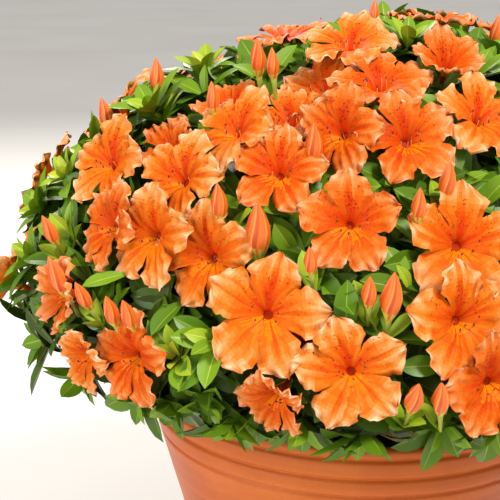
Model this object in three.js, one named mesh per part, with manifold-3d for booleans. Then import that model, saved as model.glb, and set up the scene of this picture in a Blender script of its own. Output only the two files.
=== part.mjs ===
// A flowering azalea shrub in its round terracotta planter.
// Millimetres and degrees, +Z up, origin at the centre of the planter's flat underside.
// The side seen from the front faces -Y, with +X to its right.
import * as THREE from "three";
import { mergeVertices } from "three/addons/utils/BufferGeometryUtils.js";
import Module from "manifold-3d";

const wasm = await Module();
wasm.setup();

const CLEAR = 0.3; // gap between neighbouring solids
const SLIVER = 0.02; // edges shorter than this are closed up where solids are joined

// Planter: a plain tapered wall, then a broad collar with three turned grooves
const POT_HEIGHT = 240;
const POT_FOOT_RADIUS = 89;
const POT_TAPER = 0.297; // growth of the radius for each millimetre of height
const COLLAR_START = 205;
const COLLAR_SWELL = 2.2;
const COLLAR_EASE = 12; // height over which the swell comes in
const GROOVE_HEIGHTS = [205, 218, 232];
const GROOVE_DEPTH = 1.7;
const GROOVE_HALF_WIDTH = 1.8;
const POT_WALL = 9;
const POT_FLOOR = 12;
const POT_SIDES = 30;
const SOIL_LEVEL = 222;
const SOIL_FALL = 3; // how much lower the soil lies along the wall

// Trunk and boughs
const TRUNK_TOP = 278;
const TRUNK_RADIUS = 13;
const TRUNK_TIP_RADIUS = 9;
const FLARE_RADIUS = 25;
const FLARE_HEIGHT = 9; // height over which the root flare fades
const TRUNK_LEAN = 6; // sideways shift of the tip
const ROOTS = { count: 3, swell: 0.3 };
const TRUNK_ROOM = 0.36; // gap that each bough is cut back to
const TRUNK_SIDES = 10;
const TRUNK_RINGS = 6;
const BOUGH_RADIUS = 4.2;
const BOUGH_TIP_RADIUS = 3.2;
// Where each tier of boughs leaves the trunk, as a share of its height, and how far it bends up
const BOUGH_TIERS = {
  top: { level: 0.985, bend: 0 },
  upper: { level: 0.66, bend: -12 },
  lower: { level: 0.3, bend: 4 },
};
const BOUGH_SIDES = 5;
const BOUGH_RINGS = 3;
const BOUGH_STEPS = 20; // points along a bough that foliage is kept clear of
const BOUGH_ROOM = 3;
const STEM_RADIUS = 3.8; // the three-sided stem that goes on from a bough's end
const STEM_TAPER = 0.9;
// Places as shares of the way out to the crown's surface
const BOUGH_END = 0.4;
const STEM_END = 0.52; // where a mass's stem first divides
const MASS_CENTRE = 0.66; // the masses share out the crown by these points
const SHOOT_START = 0.86; // where the leaves of a shoot spring
const OUTER_SHOOT_START = 0.93; // and those of a shoot that stands out of the crown
const BUD_TIP = 1.02;
const BLOOM_RIM = 0.95;

// The close-set inner twigs and leaves of each mass are one lumpy core that the rest stands out of
const CORE_PLACE = 0.64;
const CORE_WIDTH = 70;
const CORE_DEPTH = 27;
const CORE_LUMPS = 0.34;
const CORE_SIDES = 8;
const CORE_RINGS = 5;
const CORE_STEP = { most: 20, share: 0.08 }; // how a core's corner is drawn in towards its middle
const CORE_FACING = 0.1; // least match with the mass's own direction for a corner that bears a leaf

// Crown: a low dome, wider than deep, whose skirt hangs just over the rim
const CROWN_CENTRE = new THREE.Vector3(0, 0, 293);
const CROWN_REACH = new THREE.Vector3(268, 240, 228);
// One shoulder is lower than the dome: where it is, how wide as a cosine, and how deep
const SHOULDER = { bearing: -122, rise: 60, cosine: 0.86, depth: 0.1 };
const SKIRT_HEIGHT = 246; // lowest foliage over the planter
const SKIRT_SLOPE = 0.5; // how the skirt rises outside the rim
const HANG_HEIGHT = 221; // lowest that hanging leaves and blossom reach outside the rim
const HANG_SLOPE = 1.2;
// How far past the dome the tips of each kind may reach, and whether they may hang over the rim
const LIMITS = {
  leaf: { slack: 1.035, hangs: false },
  outerLeaf: { slack: 1.09, hangs: false },
  hangingLeaf: { slack: 1.035, hangs: true },
  blossom: { slack: 1.066, hangs: true },
};
const RIM_CLEAR_RADIUS = 156;

// Masses of foliage: one on top and two rings, each named by the side it faces
const UPPER_RING = { rise: 38, first: -22, sides: ["front", "right", "back_right", "back_left", "left"] };
const LOWER_RING = {
  rise: -2,
  first: -8,
  sides: ["front", "front_right", "right", "back_right", "back_left", "left", "front_left"],
};

// Blossom, leaves, buds and twigs
const PETAL_COUNT = 5;
const BLOOM_DEPTH = 28; // from the foot of the tube to the rim of the petals
const BLOOM_BACK = 0.8; // how much of that depth lies behind the place where a bloom sits
// A bloom's corners: radii as shares of its half span, heights as shares of its depth
const THROAT_HEIGHT = 0.36;
const FUNNEL = { radius: 0.33, height: 0.74 };
const FUNNEL_BACK = { radius: 0.28, height: 0.6 };
const NOTCH = { radius: 0.6, height: 0.92 };
const PETAL_TIP = { radius: 0.98, uneven: 0.03, halfAngle: 0.21, wave: 3 };
const BLOOM_ROLL = 32; // how far a bloom's upper petal may lean from upright, both ways together
const LEAF_LENGTH = 56;
const LEAF_VARIETY = { least: 0.78, more: 0.4 }; // share of that length a leaf may have
const LEAF_TILT = { least: 0.8, more: 0.4 }; // share of the spread that a leaf tilts by
const LEAF_WIDEST = 0.48; // share of its length at which a leaf is widest
const LEAF_ARCH = 0.05;
const LEAF_WIDTH = 24;
const LEAF_THICKNESS = 1.8;
// A leaf that does not fit is turned round its shoot or stood closer to it, in this order
const LEAF_TRIES = [
  [0, 1],
  [24, 1],
  [-24, 1],
  [12, 0.6],
  [-12, 1.3],
];
// Leaves round a root: how many, how far they tilt away from the way it points, and their size
const SHOOT_LEAVES = { count: 6, spread: 46, size: 1 };
const BLOOM_LEAVES = { count: 1, spread: 78, size: 1 };
const CORE_LEAVES = { count: 1, spread: 62, size: 1.3 };
const CORE_CORNERS = 8; // corners of a core that bear a leaf
const CORE_LEAF_SINK = 4;
const BUD_LENGTH = 30;
const BUD_WIDTH = 11;
const BUD_WIDEST = 0.45;
const BUD_LIFT = { share: 0.35, more: 56 }; // the rise a bud faces, from the rise it stands at
const BUD_RAISE = 0.3; // share of a bud at the crown's side that stands above its place
const TWIG_RADIUS = 1.2;
const TWIG_GROWTH = 0.35; // added radius for the square root of the twigs carried
const FORK_SHARE = 0.48; // how far towards its ends a twig runs before it forks
const SHOOT_KNOT = 3; // swollen tip from which the leaves of a shoot spring
const KNOT_LENGTH = 5;
const PULL = { rounds: 12, past: 0.05 }; // how pieces are moved back inside the space of their mass
const ROOT_DEPTH = 5; // how far a bloom's twig and leaves run up inside the foot of its tube

// Blooms that face the front: bearing and rise on the dome, bearing and rise they face, span
const FRONT_BLOOMS = [
  [-17, 15, -12, 14, 80],
  [-6, 30, -5, 20, 66],
  [-28, 23, -34, 10, 72],
  [-38, 25, -40, 12, 70],
  [-47, 25, -56, 18, 64],
  [-37, 35, -40, 30, 68],
  [-57, 35, -44, 28, 68],
  [-19, 38, -14, 32, 62],
  [-31, 45, -45, 44, 68],
  [-9, 46, -34, 22, 64],
  [-1, 57, -5, 64, 70],
  [4, 45, 6, 34, 66],
  [-12, 69, -12, 66, 70],
  [21, 62, 10, 55, 60],
  [21, 49, 28, 42, 68],
  [11, 27, 10, 20, 76],
  [10, 15, 24, 14, 74],
  [-5, 7, -5, 12, 73],
  [-15, 4, -34, -28, 64],
  [-37, 5, -42, 0, 66],
  [-46, 3, -48, -10, 50],
  [-53, 12, -60, 8, 58],
  [14, 5, 18, 4, 70],
];
// The stretch of bearings where those blooms are the only ones
const FRONT_WINDOW = { left: -80, right: 24, top: 72 };

// Buds that show on that side: bearing, rise, length
const FRONT_BUDS = [
  [-64, 53, 28],
  [-66, 43, 28],
  [-58, 22, 26],
  [-37, 61, 28],
  [-30, 59, 23],
  [-13, 43, 30],
  [-19, 29, 41],
  [4, 33, 25],
  [9, 37, 28],
  [0, 20, 36],
  [3, 5, 30],
  [6, 5, 30],
  [-36, 13, 26],
  [-52, 16, 33],
];

// Leafy shoots that show on that side: bearing, rise, rise of the way they point, 1 where they stand out
const FRONT_SHOOTS = [
  [-48, 59, 75, 1],
  [-46, 50, 62, 1],
  [-60, 47, 55, 1],
  [-24, 29, 45, 1],
  [15, 71, 75, 1],
  [3, 38, 50, 0],
  [15, 50, 60, 1],
  [17, 40, 50, 0],
  [3, 20, 40, 1],
  [-8, 19, 45, 0],
  [-30, 6, 30, 1],
  [-62, 10, 20, 0],
  [-58, 21, 35, 1],
  [-26, 0, -35, 0],
  [-52, 6, -15, 0],
  [4, -2, 10, 0],
  [9, -3, -30, 0],
  [-3, -4, -60, 0],
  [-19, -2, -55, 0],
  [-40, -2, -40, 0],
  [-72, 30, 40, 1],
  [-77, 8, 15, 1],
  [-78, 22, 30, 1],
  [-72, -2, -5, 0],
  [-70, 60, 70, 1],
  [-76, 46, 55, 1],
  [-13, 33, 45, 1],
];

const EVEN_TURN = 137.508; // bearing step that spreads places evenly over a dome
// The spread over the rest of the crown: places tried, lowest rise, first bearing, least spacing
const BLOOM_SPREAD = { places: 84, lowest: -4, phase: 305, spacing: 67 };
const BLOOM_LOWEST = 3; // rise under which the spread has no blooms
const SHOOT_SPREAD = { places: 240, lowest: -12, phase: 75, spacing: 47 };
const SPREAD_SPAN = { least: 66, more: 14 };
const SPREAD_FACING = { turn: 50, tilt: 24, lift: 4 };
const SHOOT_POINTING = { hangsUnder: 2, hang: -45, lift: 18, steepest: 88 };
const SHOOT_CYCLE = 3; // the first of each so many shoots of the spread hangs, or keeps inside the dome

const PALETTE = {
  terracotta: 0xb8673c,
  soil: 0x1c1612,
  bark: 0x5a4230,
  foliage: 0x3f7a2c,
};

const degrees = THREE.MathUtils.degToRad;

// Seeded random numbers between 0 and 1
function randomFrom(seed) {
  let state = seed >>> 0;
  return () => {
    state = (Math.imul(state, 1664525) + 1013904223) >>> 0;
    return state / 4294967296;
  };
}

// A unit vector from a bearing, 0 towards -Y and growing towards +X, and a rise above level
function heading(bearing, rise) {
  const b = degrees(bearing);
  const r = degrees(rise);
  return new THREE.Vector3(Math.sin(b) * Math.cos(r), -Math.cos(b) * Math.cos(r), Math.sin(r));
}

// How far the crown reaches in a direction, as a share of its dome
function crownShare(direction) {
  const match = direction.dot(heading(SHOULDER.bearing, SHOULDER.rise));
  const nearness = THREE.MathUtils.clamp((match - SHOULDER.cosine) / (1 - SHOULDER.cosine), 0, 1);
  return 1 - SHOULDER.depth * nearness;
}

// The point of the crown at a bearing and rise, at a share of its reach there
function crownPoint(bearing, rise, share) {
  const direction = heading(bearing, rise);
  const reach = share * crownShare(direction);
  return direction.multiply(CROWN_REACH).multiplyScalar(reach).add(CROWN_CENTRE);
}

// A three.js geometry as a solid
function solidOf(geometry) {
  const bare = geometry.clone();
  bare.deleteAttribute("normal");
  bare.deleteAttribute("uv");
  const merged = mergeVertices(bare, 1e-4);
  return new wasm.Manifold(
    new wasm.Mesh({
      numProp: 3,
      vertProperties: new Float32Array(merged.attributes.position.array),
      triVerts: new Uint32Array(merged.index.array),
    }),
  );
}

// A solid as a three.js geometry
function geometryOf(solid) {
  const mesh = solid.getMesh();
  const positions = new Float32Array(mesh.numVert * 3);
  for (let i = 0; i < mesh.numVert; i++) {
    positions.set(mesh.vertProperties.subarray(i * mesh.numProp, i * mesh.numProp + 3), i * 3);
  }
  const geometry = new THREE.BufferGeometry();
  geometry.setAttribute("position", new THREE.BufferAttribute(positions, 3));
  geometry.setIndex(new THREE.BufferAttribute(new Uint32Array(mesh.triVerts), 1));
  geometry.computeVertexNormals();
  return geometry;
}

// The corner points of a geometry
function cornersOf(geometry) {
  const place = geometry.attributes.position;
  return Array.from({ length: place.count }, (_, i) => new THREE.Vector3().fromBufferAttribute(place, i));
}

// Turns local +Z to a direction, and local +X as far up as it goes but for a roll, and moves to a point
function pose(geometry, point, direction, roll = 0) {
  const across = new THREE.Vector3(0, 0, 1).cross(direction);
  if (across.length() < 0.05) across.set(1, 0, 0);
  across.normalize().applyAxisAngle(direction, degrees(roll));
  const upper = new THREE.Vector3().crossVectors(direction, across);
  const basis = new THREE.Matrix4().makeBasis(upper, across.negate(), direction);
  return geometry.applyMatrix4(basis).translate(point.x, point.y, point.z);
}

// Planter wall radius at a height, without its grooves
function wallRadius(height) {
  const below = Math.min(height, COLLAR_START);
  const above = Math.max(height - COLLAR_START, 0);
  return POT_FOOT_RADIUS + POT_TAPER * below + COLLAR_SWELL * (1 - Math.exp(-above / COLLAR_EASE));
}

function potGeometry() {
  const point = (radius, height) => new THREE.Vector2(radius, height);
  const chamfer = 3;
  const outline = [point(0, 0), point(POT_FOOT_RADIUS - chamfer, 0), point(wallRadius(chamfer), chamfer)];
  for (const height of GROOVE_HEIGHTS) {
    const radius = wallRadius(height);
    outline.push(point(radius, height - GROOVE_HALF_WIDTH));
    outline.push(point(radius - GROOVE_DEPTH, height));
    outline.push(point(radius, height + GROOVE_HALF_WIDTH));
  }
  const lip = wallRadius(POT_HEIGHT);
  const lipDrop = 3.5;
  outline.push(point(lip, POT_HEIGHT - lipDrop));
  outline.push(point(lip - lipDrop / 2, POT_HEIGHT));
  outline.push(point(lip - POT_WALL + lipDrop / 2, POT_HEIGHT));
  outline.push(point(lip - POT_WALL, POT_HEIGHT - lipDrop));
  outline.push(point(wallRadius(COLLAR_START) - POT_WALL, COLLAR_START));
  outline.push(point(wallRadius(POT_FLOOR) - POT_WALL, POT_FLOOR));
  outline.push(point(0, POT_FLOOR));
  return new THREE.LatheGeometry(outline, POT_SIDES).rotateX(Math.PI / 2);
}

function soilGeometry() {
  const inner = (height) => wallRadius(height) - POT_WALL - 2 * CLEAR;
  const base = POT_FLOOR + CLEAR;
  const edge = SOIL_LEVEL - SOIL_FALL;
  const outline = [
    new THREE.Vector2(0, base),
    new THREE.Vector2(inner(base), base),
    new THREE.Vector2(inner(COLLAR_START), edge),
    new THREE.Vector2(0, SOIL_LEVEL),
  ];
  return new THREE.LatheGeometry(outline, POT_SIDES).rotateX(Math.PI / 2);
}

// A limb: a cylinder of rings bent along a curve, with a radius for each share of its length
function limbGeometry(curve, radiusAt, sides, rings) {
  const geometry = new THREE.CylinderGeometry(1, 1, 1, sides, rings);
  const place = geometry.attributes.position;
  for (let i = 0; i < place.count; i++) {
    const share = THREE.MathUtils.clamp(place.getY(i) + 0.5, 0, 1);
    const along = curve.getTangent(share);
    const across = new THREE.Vector3(along.z, 0, -along.x);
    if (across.length() < 0.01) across.set(1, 0, 0);
    across.normalize();
    const third = new THREE.Vector3().crossVectors(along, across);
    const x = place.getX(i);
    const z = place.getZ(i);
    const radius = radiusAt(share, Math.atan2(z, x));
    const point = curve.getPoint(share);
    point.addScaledVector(across, z * radius);
    point.addScaledVector(third, x * radius);
    place.setXYZ(i, point.x, point.y, point.z);
  }
  return geometry;
}

function trunkCurve() {
  const foot = new THREE.Vector3(0, 0, SOIL_LEVEL + CLEAR);
  const tip = new THREE.Vector3(-TRUNK_LEAN, TRUNK_LEAN / 2, TRUNK_TOP);
  const middle = foot.clone().setZ((foot.z + tip.z) / 2);
  return new THREE.QuadraticBezierCurve3(foot, middle, tip);
}

// Trunk radius: an even taper, and at the foot a flare with three swollen roots
function trunkRadius(share, angle) {
  const height = share * (TRUNK_TOP - SOIL_LEVEL);
  const flare = Math.exp(-height / FLARE_HEIGHT);
  const lobes = 1 + ROOTS.swell * Math.cos(ROOTS.count * angle);
  const swell = (FLARE_RADIUS - TRUNK_RADIUS) * flare * lobes;
  return THREE.MathUtils.lerp(TRUNK_RADIUS, TRUNK_TIP_RADIUS, share) + swell;
}

// The masses with their bearings, rises and centres
function makeMasses() {
  const masses = [{ name: "foliage_top", level: "top", bearing: 0, rise: 90 }];
  for (const [level, ring] of [
    ["upper", UPPER_RING],
    ["lower", LOWER_RING],
  ]) {
    ring.sides.forEach((side, i) => {
      const bearing = ring.first + (360 / ring.sides.length) * i;
      masses.push({ name: `foliage_${level}_${side}`, level, bearing, rise: ring.rise });
    });
  }
  for (const mass of masses) {
    mass.centre = crownPoint(mass.bearing, mass.rise, MASS_CENTRE);
    mass.hub = crownPoint(mass.bearing, mass.rise, STEM_END);
  }
  return masses;
}

// Planes between a mass and its neighbours: a point is in the mass's own space while it is behind all
function makeWalls(masses) {
  for (const mass of masses) {
    mass.walls = masses
      .filter((other) => other !== mass)
      .map((other) => {
        const normal = other.centre.clone().sub(mass.centre).normalize();
        const middle = other.centre.clone().add(mass.centre).multiplyScalar(0.5);
        return new THREE.Plane(normal, -normal.dot(middle) + CLEAR);
      });
  }
}

// A bough leaves the trunk at the height of its tier and bends up or out to its mass
function makeBoughs(masses, trunk) {
  masses.forEach((mass) => {
    const tip = crownPoint(mass.bearing, mass.rise, BOUGH_END);
    const { level, bend } = BOUGH_TIERS[mass.level];
    const start = trunk.getPoint(level);
    const middle = start.clone().lerp(tip, 0.5);
    middle.z += bend;
    mass.boughCurve = new THREE.QuadraticBezierCurve3(start, middle, tip);
    mass.boughTip = tip;
    mass.boughEndDirection = mass.boughCurve.getTangent(1);
  });
}

// True while a point is inside the mass's space, the dome and the height limits, and clear of all limbs
function pointFits(point, mass, limbPoints, limits) {
  if (mass.walls.some((wall) => wall.distanceToPoint(point) > 0)) return false;
  const out = point.clone().sub(CROWN_CENTRE).divide(CROWN_REACH);
  const length = out.length();
  if (length > limits.slack * crownShare(out.normalize())) return false;
  const outside = Math.max(Math.hypot(point.x, point.y) - RIM_CLEAR_RADIUS, 0);
  const skirt = SKIRT_HEIGHT + SKIRT_SLOPE * outside;
  const hang = Math.max(HANG_HEIGHT, SKIRT_HEIGHT - HANG_SLOPE * outside);
  if (point.z < (limits.hangs ? hang : skirt)) return false;
  return limbPoints.every((limb) => limb.point.distanceTo(point) > limb.radius);
}

function geometryFits(geometry, mass, limbPoints, limits) {
  return cornersOf(geometry).every((corner) => pointFits(corner, mass, limbPoints, limits));
}

// Moves a posed geometry back inside the mass's space; gives the shift that it took
function pullInside(geometry, mass) {
  const shift = new THREE.Vector3();
  for (let round = 0; round < PULL.rounds; round++) {
    for (const wall of mass.walls) {
      const past = Math.max(...cornersOf(geometry).map((corner) => wall.distanceToPoint(corner)));
      if (past > 0) {
        const step = wall.normal.clone().multiplyScalar(-past - PULL.past);
        geometry.translate(step.x, step.y, step.z);
        shift.add(step);
      }
    }
  }
  return shift;
}

// The core of a mass: a flattened ball with lumps, drawn in wherever it would leave the mass's space
function coreGeometry(mass, limbPoints, random) {
  const geometry = plainBall();
  const outward = heading(mass.bearing, mass.rise);
  const turn = new THREE.Quaternion().setFromUnitVectors(new THREE.Vector3(0, 0, 1), outward);
  const middle = crownPoint(mass.bearing, mass.rise, CORE_PLACE);
  const place = geometry.attributes.position;
  for (let i = 0; i < place.count; i++) {
    const point = new THREE.Vector3().fromBufferAttribute(place, i);
    point.multiplyScalar(1 + CORE_LUMPS * (2 * random() - 1));
    point.multiply(new THREE.Vector3(CORE_WIDTH, CORE_WIDTH, CORE_DEPTH));
    point.applyQuaternion(turn).add(middle);
    for (let i = 0; i < CORE_STEP.most && !pointFits(point, mass, limbPoints, LIMITS.leaf); i++) {
      point.lerp(middle, CORE_STEP.share);
    }
    place.setXYZ(i, point.x, point.y, point.z);
  }
  return geometry;
}

// Big leaves that spring from the core's outer corners, the barest places first
function addCoreLeaves(mass, corners, limbPoints, random) {
  const outward = heading(mass.bearing, mass.rise);
  const roots = mass.solids.filter((item) => item.root).map((item) => item.root);
  const bareness = (corner) => Math.min(...roots.map((root) => root.distanceTo(corner)));
  const facing = (corner) => corner.clone().sub(mass.hub).normalize().dot(outward);
  const places = corners.filter((corner) => facing(corner) > CORE_FACING);
  places.sort((a, b) => bareness(b) - bareness(a));
  for (const corner of places.slice(0, CORE_CORNERS)) {
    const root = corner.clone().addScaledVector(outward, -CORE_LEAF_SINK);
    addLeaves(mass, root, outward, CORE_LEAVES, LIMITS.leaf, random, limbPoints);
  }
}

function plainBall() {
  const ball = new THREE.SphereGeometry(1, CORE_SIDES, CORE_RINGS).rotateX(Math.PI / 2);
  ball.deleteAttribute("normal");
  ball.deleteAttribute("uv");
  return mergeVertices(ball, 1e-4);
}

// A bloom: a five-lobed funnel, closed at the back by a second skin, with its foot at the origin
function bloomGeometry(span, random) {
  const reach = span / 2;
  const front = [];
  const back = [];
  const rim = [];
  for (let i = 0; i < PETAL_COUNT; i++) {
    const petal = (2 * Math.PI * i) / PETAL_COUNT;
    const notch = petal - Math.PI / PETAL_COUNT;
    const at = (angle, radius, height) => {
      return [reach * radius * Math.cos(angle), reach * radius * Math.sin(angle), height * BLOOM_DEPTH];
    };
    front.push(at(notch, FUNNEL.radius, FUNNEL.height));
    back.push(at(notch, FUNNEL_BACK.radius, FUNNEL_BACK.height));
    rim.push(at(notch, NOTCH.radius, NOTCH.height));
    for (const side of [-1, 1]) {
      const wave = PETAL_TIP.wave * (random() - 0.5);
      const radius = PETAL_TIP.radius + PETAL_TIP.uneven * side * random();
      rim.push(at(petal + side * PETAL_TIP.halfAngle, radius, 1 + wave / BLOOM_DEPTH));
    }
  }
  const throat = [0, 0, THROAT_HEIGHT * BLOOM_DEPTH];
  const corners = [throat, [0, 0, 0], ...front, ...back, ...rim];
  const frontStart = 2;
  const backStart = frontStart + PETAL_COUNT;
  const rimStart = backStart + PETAL_COUNT;
  const faces = [];
  const skin = (ring, middle, flip) => {
    const face = (a, b, c) => faces.push(...(flip ? [a, c, b] : [a, b, c]));
    for (let i = 0; i < PETAL_COUNT; i++) {
      const next = (i + 1) % PETAL_COUNT;
      const notch = rimStart + 3 * i;
      const nextNotch = rimStart + 3 * next;
      face(middle, ring + i, ring + next);
      face(ring + i, notch, notch + 1);
      face(ring + i, notch + 1, notch + 2);
      face(ring + i, notch + 2, ring + next);
      face(ring + next, notch + 2, nextNotch);
    }
  };
  skin(frontStart, 0, false);
  skin(backStart, 1, true);
  const geometry = new THREE.BufferGeometry();
  geometry.setAttribute("position", new THREE.BufferAttribute(new Float32Array(corners.flat()), 3));
  geometry.setIndex(faces);
  return geometry;
}

// A leaf of eight faces with its root at the origin, its length along +Z and its upper side to +X
function leafGeometry(length, width) {
  const geometry = new THREE.OctahedronGeometry(1);
  const place = geometry.attributes.position;
  for (let i = 0; i < place.count; i++) {
    const along = place.getZ(i);
    const middle = Math.abs(along) < 0.5;
    const height = middle ? LEAF_WIDEST * length : ((along + 1) / 2) * length;
    const arch = middle ? LEAF_ARCH * length : 0;
    const thick = (place.getX(i) * LEAF_THICKNESS) / 2 + arch;
    place.setXYZ(i, thick, (place.getY(i) * width) / 2, height);
  }
  return geometry;
}

// A pointed bud of five sides with its foot at the origin
function budGeometry(length) {
  const geometry = new THREE.SphereGeometry(1, 5, 2).rotateX(Math.PI / 2);
  const radius = (BUD_WIDTH / 2) * (length / BUD_LENGTH);
  geometry.scale(radius, radius, 1);
  const place = geometry.attributes.position;
  for (let i = 0; i < place.count; i++) {
    const along = place.getZ(i);
    place.setZ(i, length * (Math.abs(along) < 0.5 ? BUD_WIDEST : (along + 1) / 2));
  }
  return geometry;
}

// Adds a ring of three corners square to a direction, turned to follow the triangle it grows from
function addRing(skin, centre, direction, radius, mouth) {
  const across = new THREE.Vector3(0, 0, 1).cross(direction);
  if (across.length() < 0.05) across.set(1, 0, 0);
  across.normalize();
  const third = new THREE.Vector3().crossVectors(direction, across);
  const middle = new THREE.Vector3();
  mouth.forEach((index) => middle.addScaledVector(skin.corners[index], 1 / 3));
  let east = 0;
  let north = 0;
  mouth.forEach((index, i) => {
    const arm = skin.corners[index].clone().sub(middle);
    const angle = Math.atan2(arm.dot(third), arm.dot(across)) - (2 * Math.PI * i) / 3;
    east += Math.cos(angle);
    north += Math.sin(angle);
  });
  const turn = Math.atan2(north, east);
  return [0, 1, 2].map((i) => {
    const angle = turn + (2 * Math.PI * i) / 3;
    const corner = centre.clone().addScaledVector(across, radius * Math.cos(angle));
    corner.addScaledVector(third, radius * Math.sin(angle));
    return skin.corners.push(corner) - 1;
  });
}

// Carries a twig's skin on from an open triangle to a new ring, which becomes its open end
function carryOn(skin, mouth, centre, direction, radius) {
  const ring = addRing(skin, centre, direction, radius, mouth);
  for (let i = 0; i < 3; i++) {
    const next = (i + 1) % 3;
    skin.faces.push(mouth[i], mouth[next], ring[next], mouth[i], ring[next], ring[i]);
  }
  return ring;
}

// The three triangles from a ring up to a point ahead of it
function pointOf(skin, ring, tip) {
  const apex = skin.corners.push(tip) - 1;
  return ring.map((corner, i) => [corner, ring[(i + 1) % 3], apex]);
}

function skinGeometry(skin) {
  const geometry = new THREE.BufferGeometry().setFromPoints(skin.corners);
  geometry.setIndex(skin.faces);
  return geometry;
}

// Even places over the dome from a spiral, skipping those too near to a place that is taken
function evenPlaces(spread, taken, keepOut) {
  const places = [];
  const floor = Math.sin(degrees(spread.lowest));
  for (let i = 0; i < spread.places; i++) {
    const height = floor + ((1 - floor) * (i + 0.5)) / spread.places;
    const rise = THREE.MathUtils.radToDeg(Math.asin(height));
    const bearing = ((spread.phase + EVEN_TURN * i + 180) % 360) - 180;
    const point = crownPoint(bearing, rise, 1);
    if (keepOut(bearing, rise)) continue;
    if ([...taken, ...places].some((other) => other.point.distanceTo(point) < spread.spacing)) continue;
    places.push({ bearing, rise, point });
  }
  return places;
}

function inWindow(bearing, rise) {
  return bearing > FRONT_WINDOW.left && bearing < FRONT_WINDOW.right && rise < FRONT_WINDOW.top;
}

// All blooms: the ones that face the front, then an even spread over the rest of the crown
function makeBlooms(random) {
  const shown = FRONT_BLOOMS.map(([bearing, rise, faceBearing, faceRise, span]) => ({
    bearing,
    rise,
    span,
    point: crownPoint(bearing, rise, 1),
    facing: heading(faceBearing, faceRise),
  }));
  const noBloomAt = (bearing, rise) => inWindow(bearing, rise) || rise < BLOOM_LOWEST;
  const spread = evenPlaces(BLOOM_SPREAD, shown, noBloomAt);
  for (const place of spread) {
    place.span = SPREAD_SPAN.least + SPREAD_SPAN.more * random();
    const bearing = place.bearing + SPREAD_FACING.turn * (random() - 0.5);
    const rise = place.rise + SPREAD_FACING.lift + SPREAD_FACING.tilt * (random() - 0.5);
    place.facing = heading(bearing, rise);
  }
  return [...shown, ...spread];
}

function makeShoots(blooms) {
  const shown = FRONT_SHOOTS.map(([bearing, rise, pointing, standsOut]) => ({
    bearing,
    rise,
    standsOut,
    point: crownPoint(bearing, rise, 1),
    facing: heading(bearing, pointing),
  }));
  const inShownPart = (bearing, rise) => rise > 0 && inWindow(bearing, rise);
  const spread = evenPlaces(SHOOT_SPREAD, [...blooms, ...shown], inShownPart);
  spread.forEach((place, i) => {
    const first = i % SHOOT_CYCLE === 0;
    const hangs = first && place.rise < SHOOT_POINTING.hangsUnder;
    const change = hangs ? SHOOT_POINTING.hang : SHOOT_POINTING.lift;
    place.facing = heading(place.bearing, Math.min(place.rise + change, SHOOT_POINTING.steepest));
    place.standsOut = !first && place.rise > 0;
  });
  return [...shown, ...spread];
}

function nearestMass(point, masses) {
  return masses.reduce((best, mass) =>
    point.distanceTo(mass.centre) < point.distanceTo(best.centre) ? mass : best,
  );
}

// A leaf that springs from a root: turned about the shoot's axis, tilted from it, upper side inwards
function placedLeaf(root, axis, around, tilt, length) {
  const side = new THREE.Vector3(0, 0, 1).cross(axis);
  if (side.length() < 0.05) side.set(1, 0, 0);
  const direction = side.normalize().applyAxisAngle(axis, degrees(around));
  direction.multiplyScalar(Math.sin(degrees(tilt))).addScaledVector(axis, Math.cos(degrees(tilt)));
  direction.normalize();
  const upper = axis.clone().addScaledVector(direction, -axis.dot(direction)).normalize();
  const basis = new THREE.Matrix4();
  basis.makeBasis(upper, new THREE.Vector3().crossVectors(direction, upper), direction);
  const leaf = leafGeometry(length, LEAF_WIDTH * (length / LEAF_LENGTH));
  return leaf.applyMatrix4(basis).translate(root.x, root.y, root.z);
}

// Adds leaves round a root; one that does not fit is tried again further round, then left out
function addLeaves(mass, root, axis, { count, spread, size }, limits, random, limbPoints) {
  const start = 360 * random();
  const others = [...mass.solids];
  for (let i = 0; i < count; i++) {
    const length = size * LEAF_LENGTH * (LEAF_VARIETY.least + LEAF_VARIETY.more * random());
    const tilt = spread * (LEAF_TILT.least + LEAF_TILT.more * random());
    for (const [nudge, closer] of LEAF_TRIES) {
      const around = start + (360 / count) * i + nudge;
      const leaf = placedLeaf(root, axis, around, tilt * closer, length);
      if (!geometryFits(leaf, mass, limbPoints, limits)) continue;
      const solid = solidOf(leaf);
      if (others.some((other) => other.root !== root && !other.solid.intersect(solid).isEmpty())) continue;
      mass.solids.push({ solid, root });
      break;
    }
  }
}

// Shares the ends out among the triangles that face them best, and never all to one of them
function shareOut(skin, mouths, from, ends) {
  const groups = mouths.map(() => []);
  const facings = mouths.map((mouth) => {
    const [a, b, c] = mouth.map((index) => skin.corners[index]);
    return new THREE.Triangle(a, b, c).getNormal(new THREE.Vector3());
  });
  const match = (end, i) => end.foot.clone().sub(from).normalize().dot(facings[i]);
  for (const end of ends) {
    const order = [0, 1, 2].sort((a, b) => match(end, b) - match(end, a));
    groups[order[0]].push(end);
  }
  const full = groups.findIndex((group) => group.length === ends.length);
  if (full >= 0) {
    const next = (full + 1) % 3;
    const sorted = [...ends].sort((a, b) => match(b, next) - match(a, next));
    groups[next] = sorted.slice(0, Math.floor(ends.length / 2));
    groups[full] = sorted.slice(Math.floor(ends.length / 2));
  }
  return groups;
}

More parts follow.
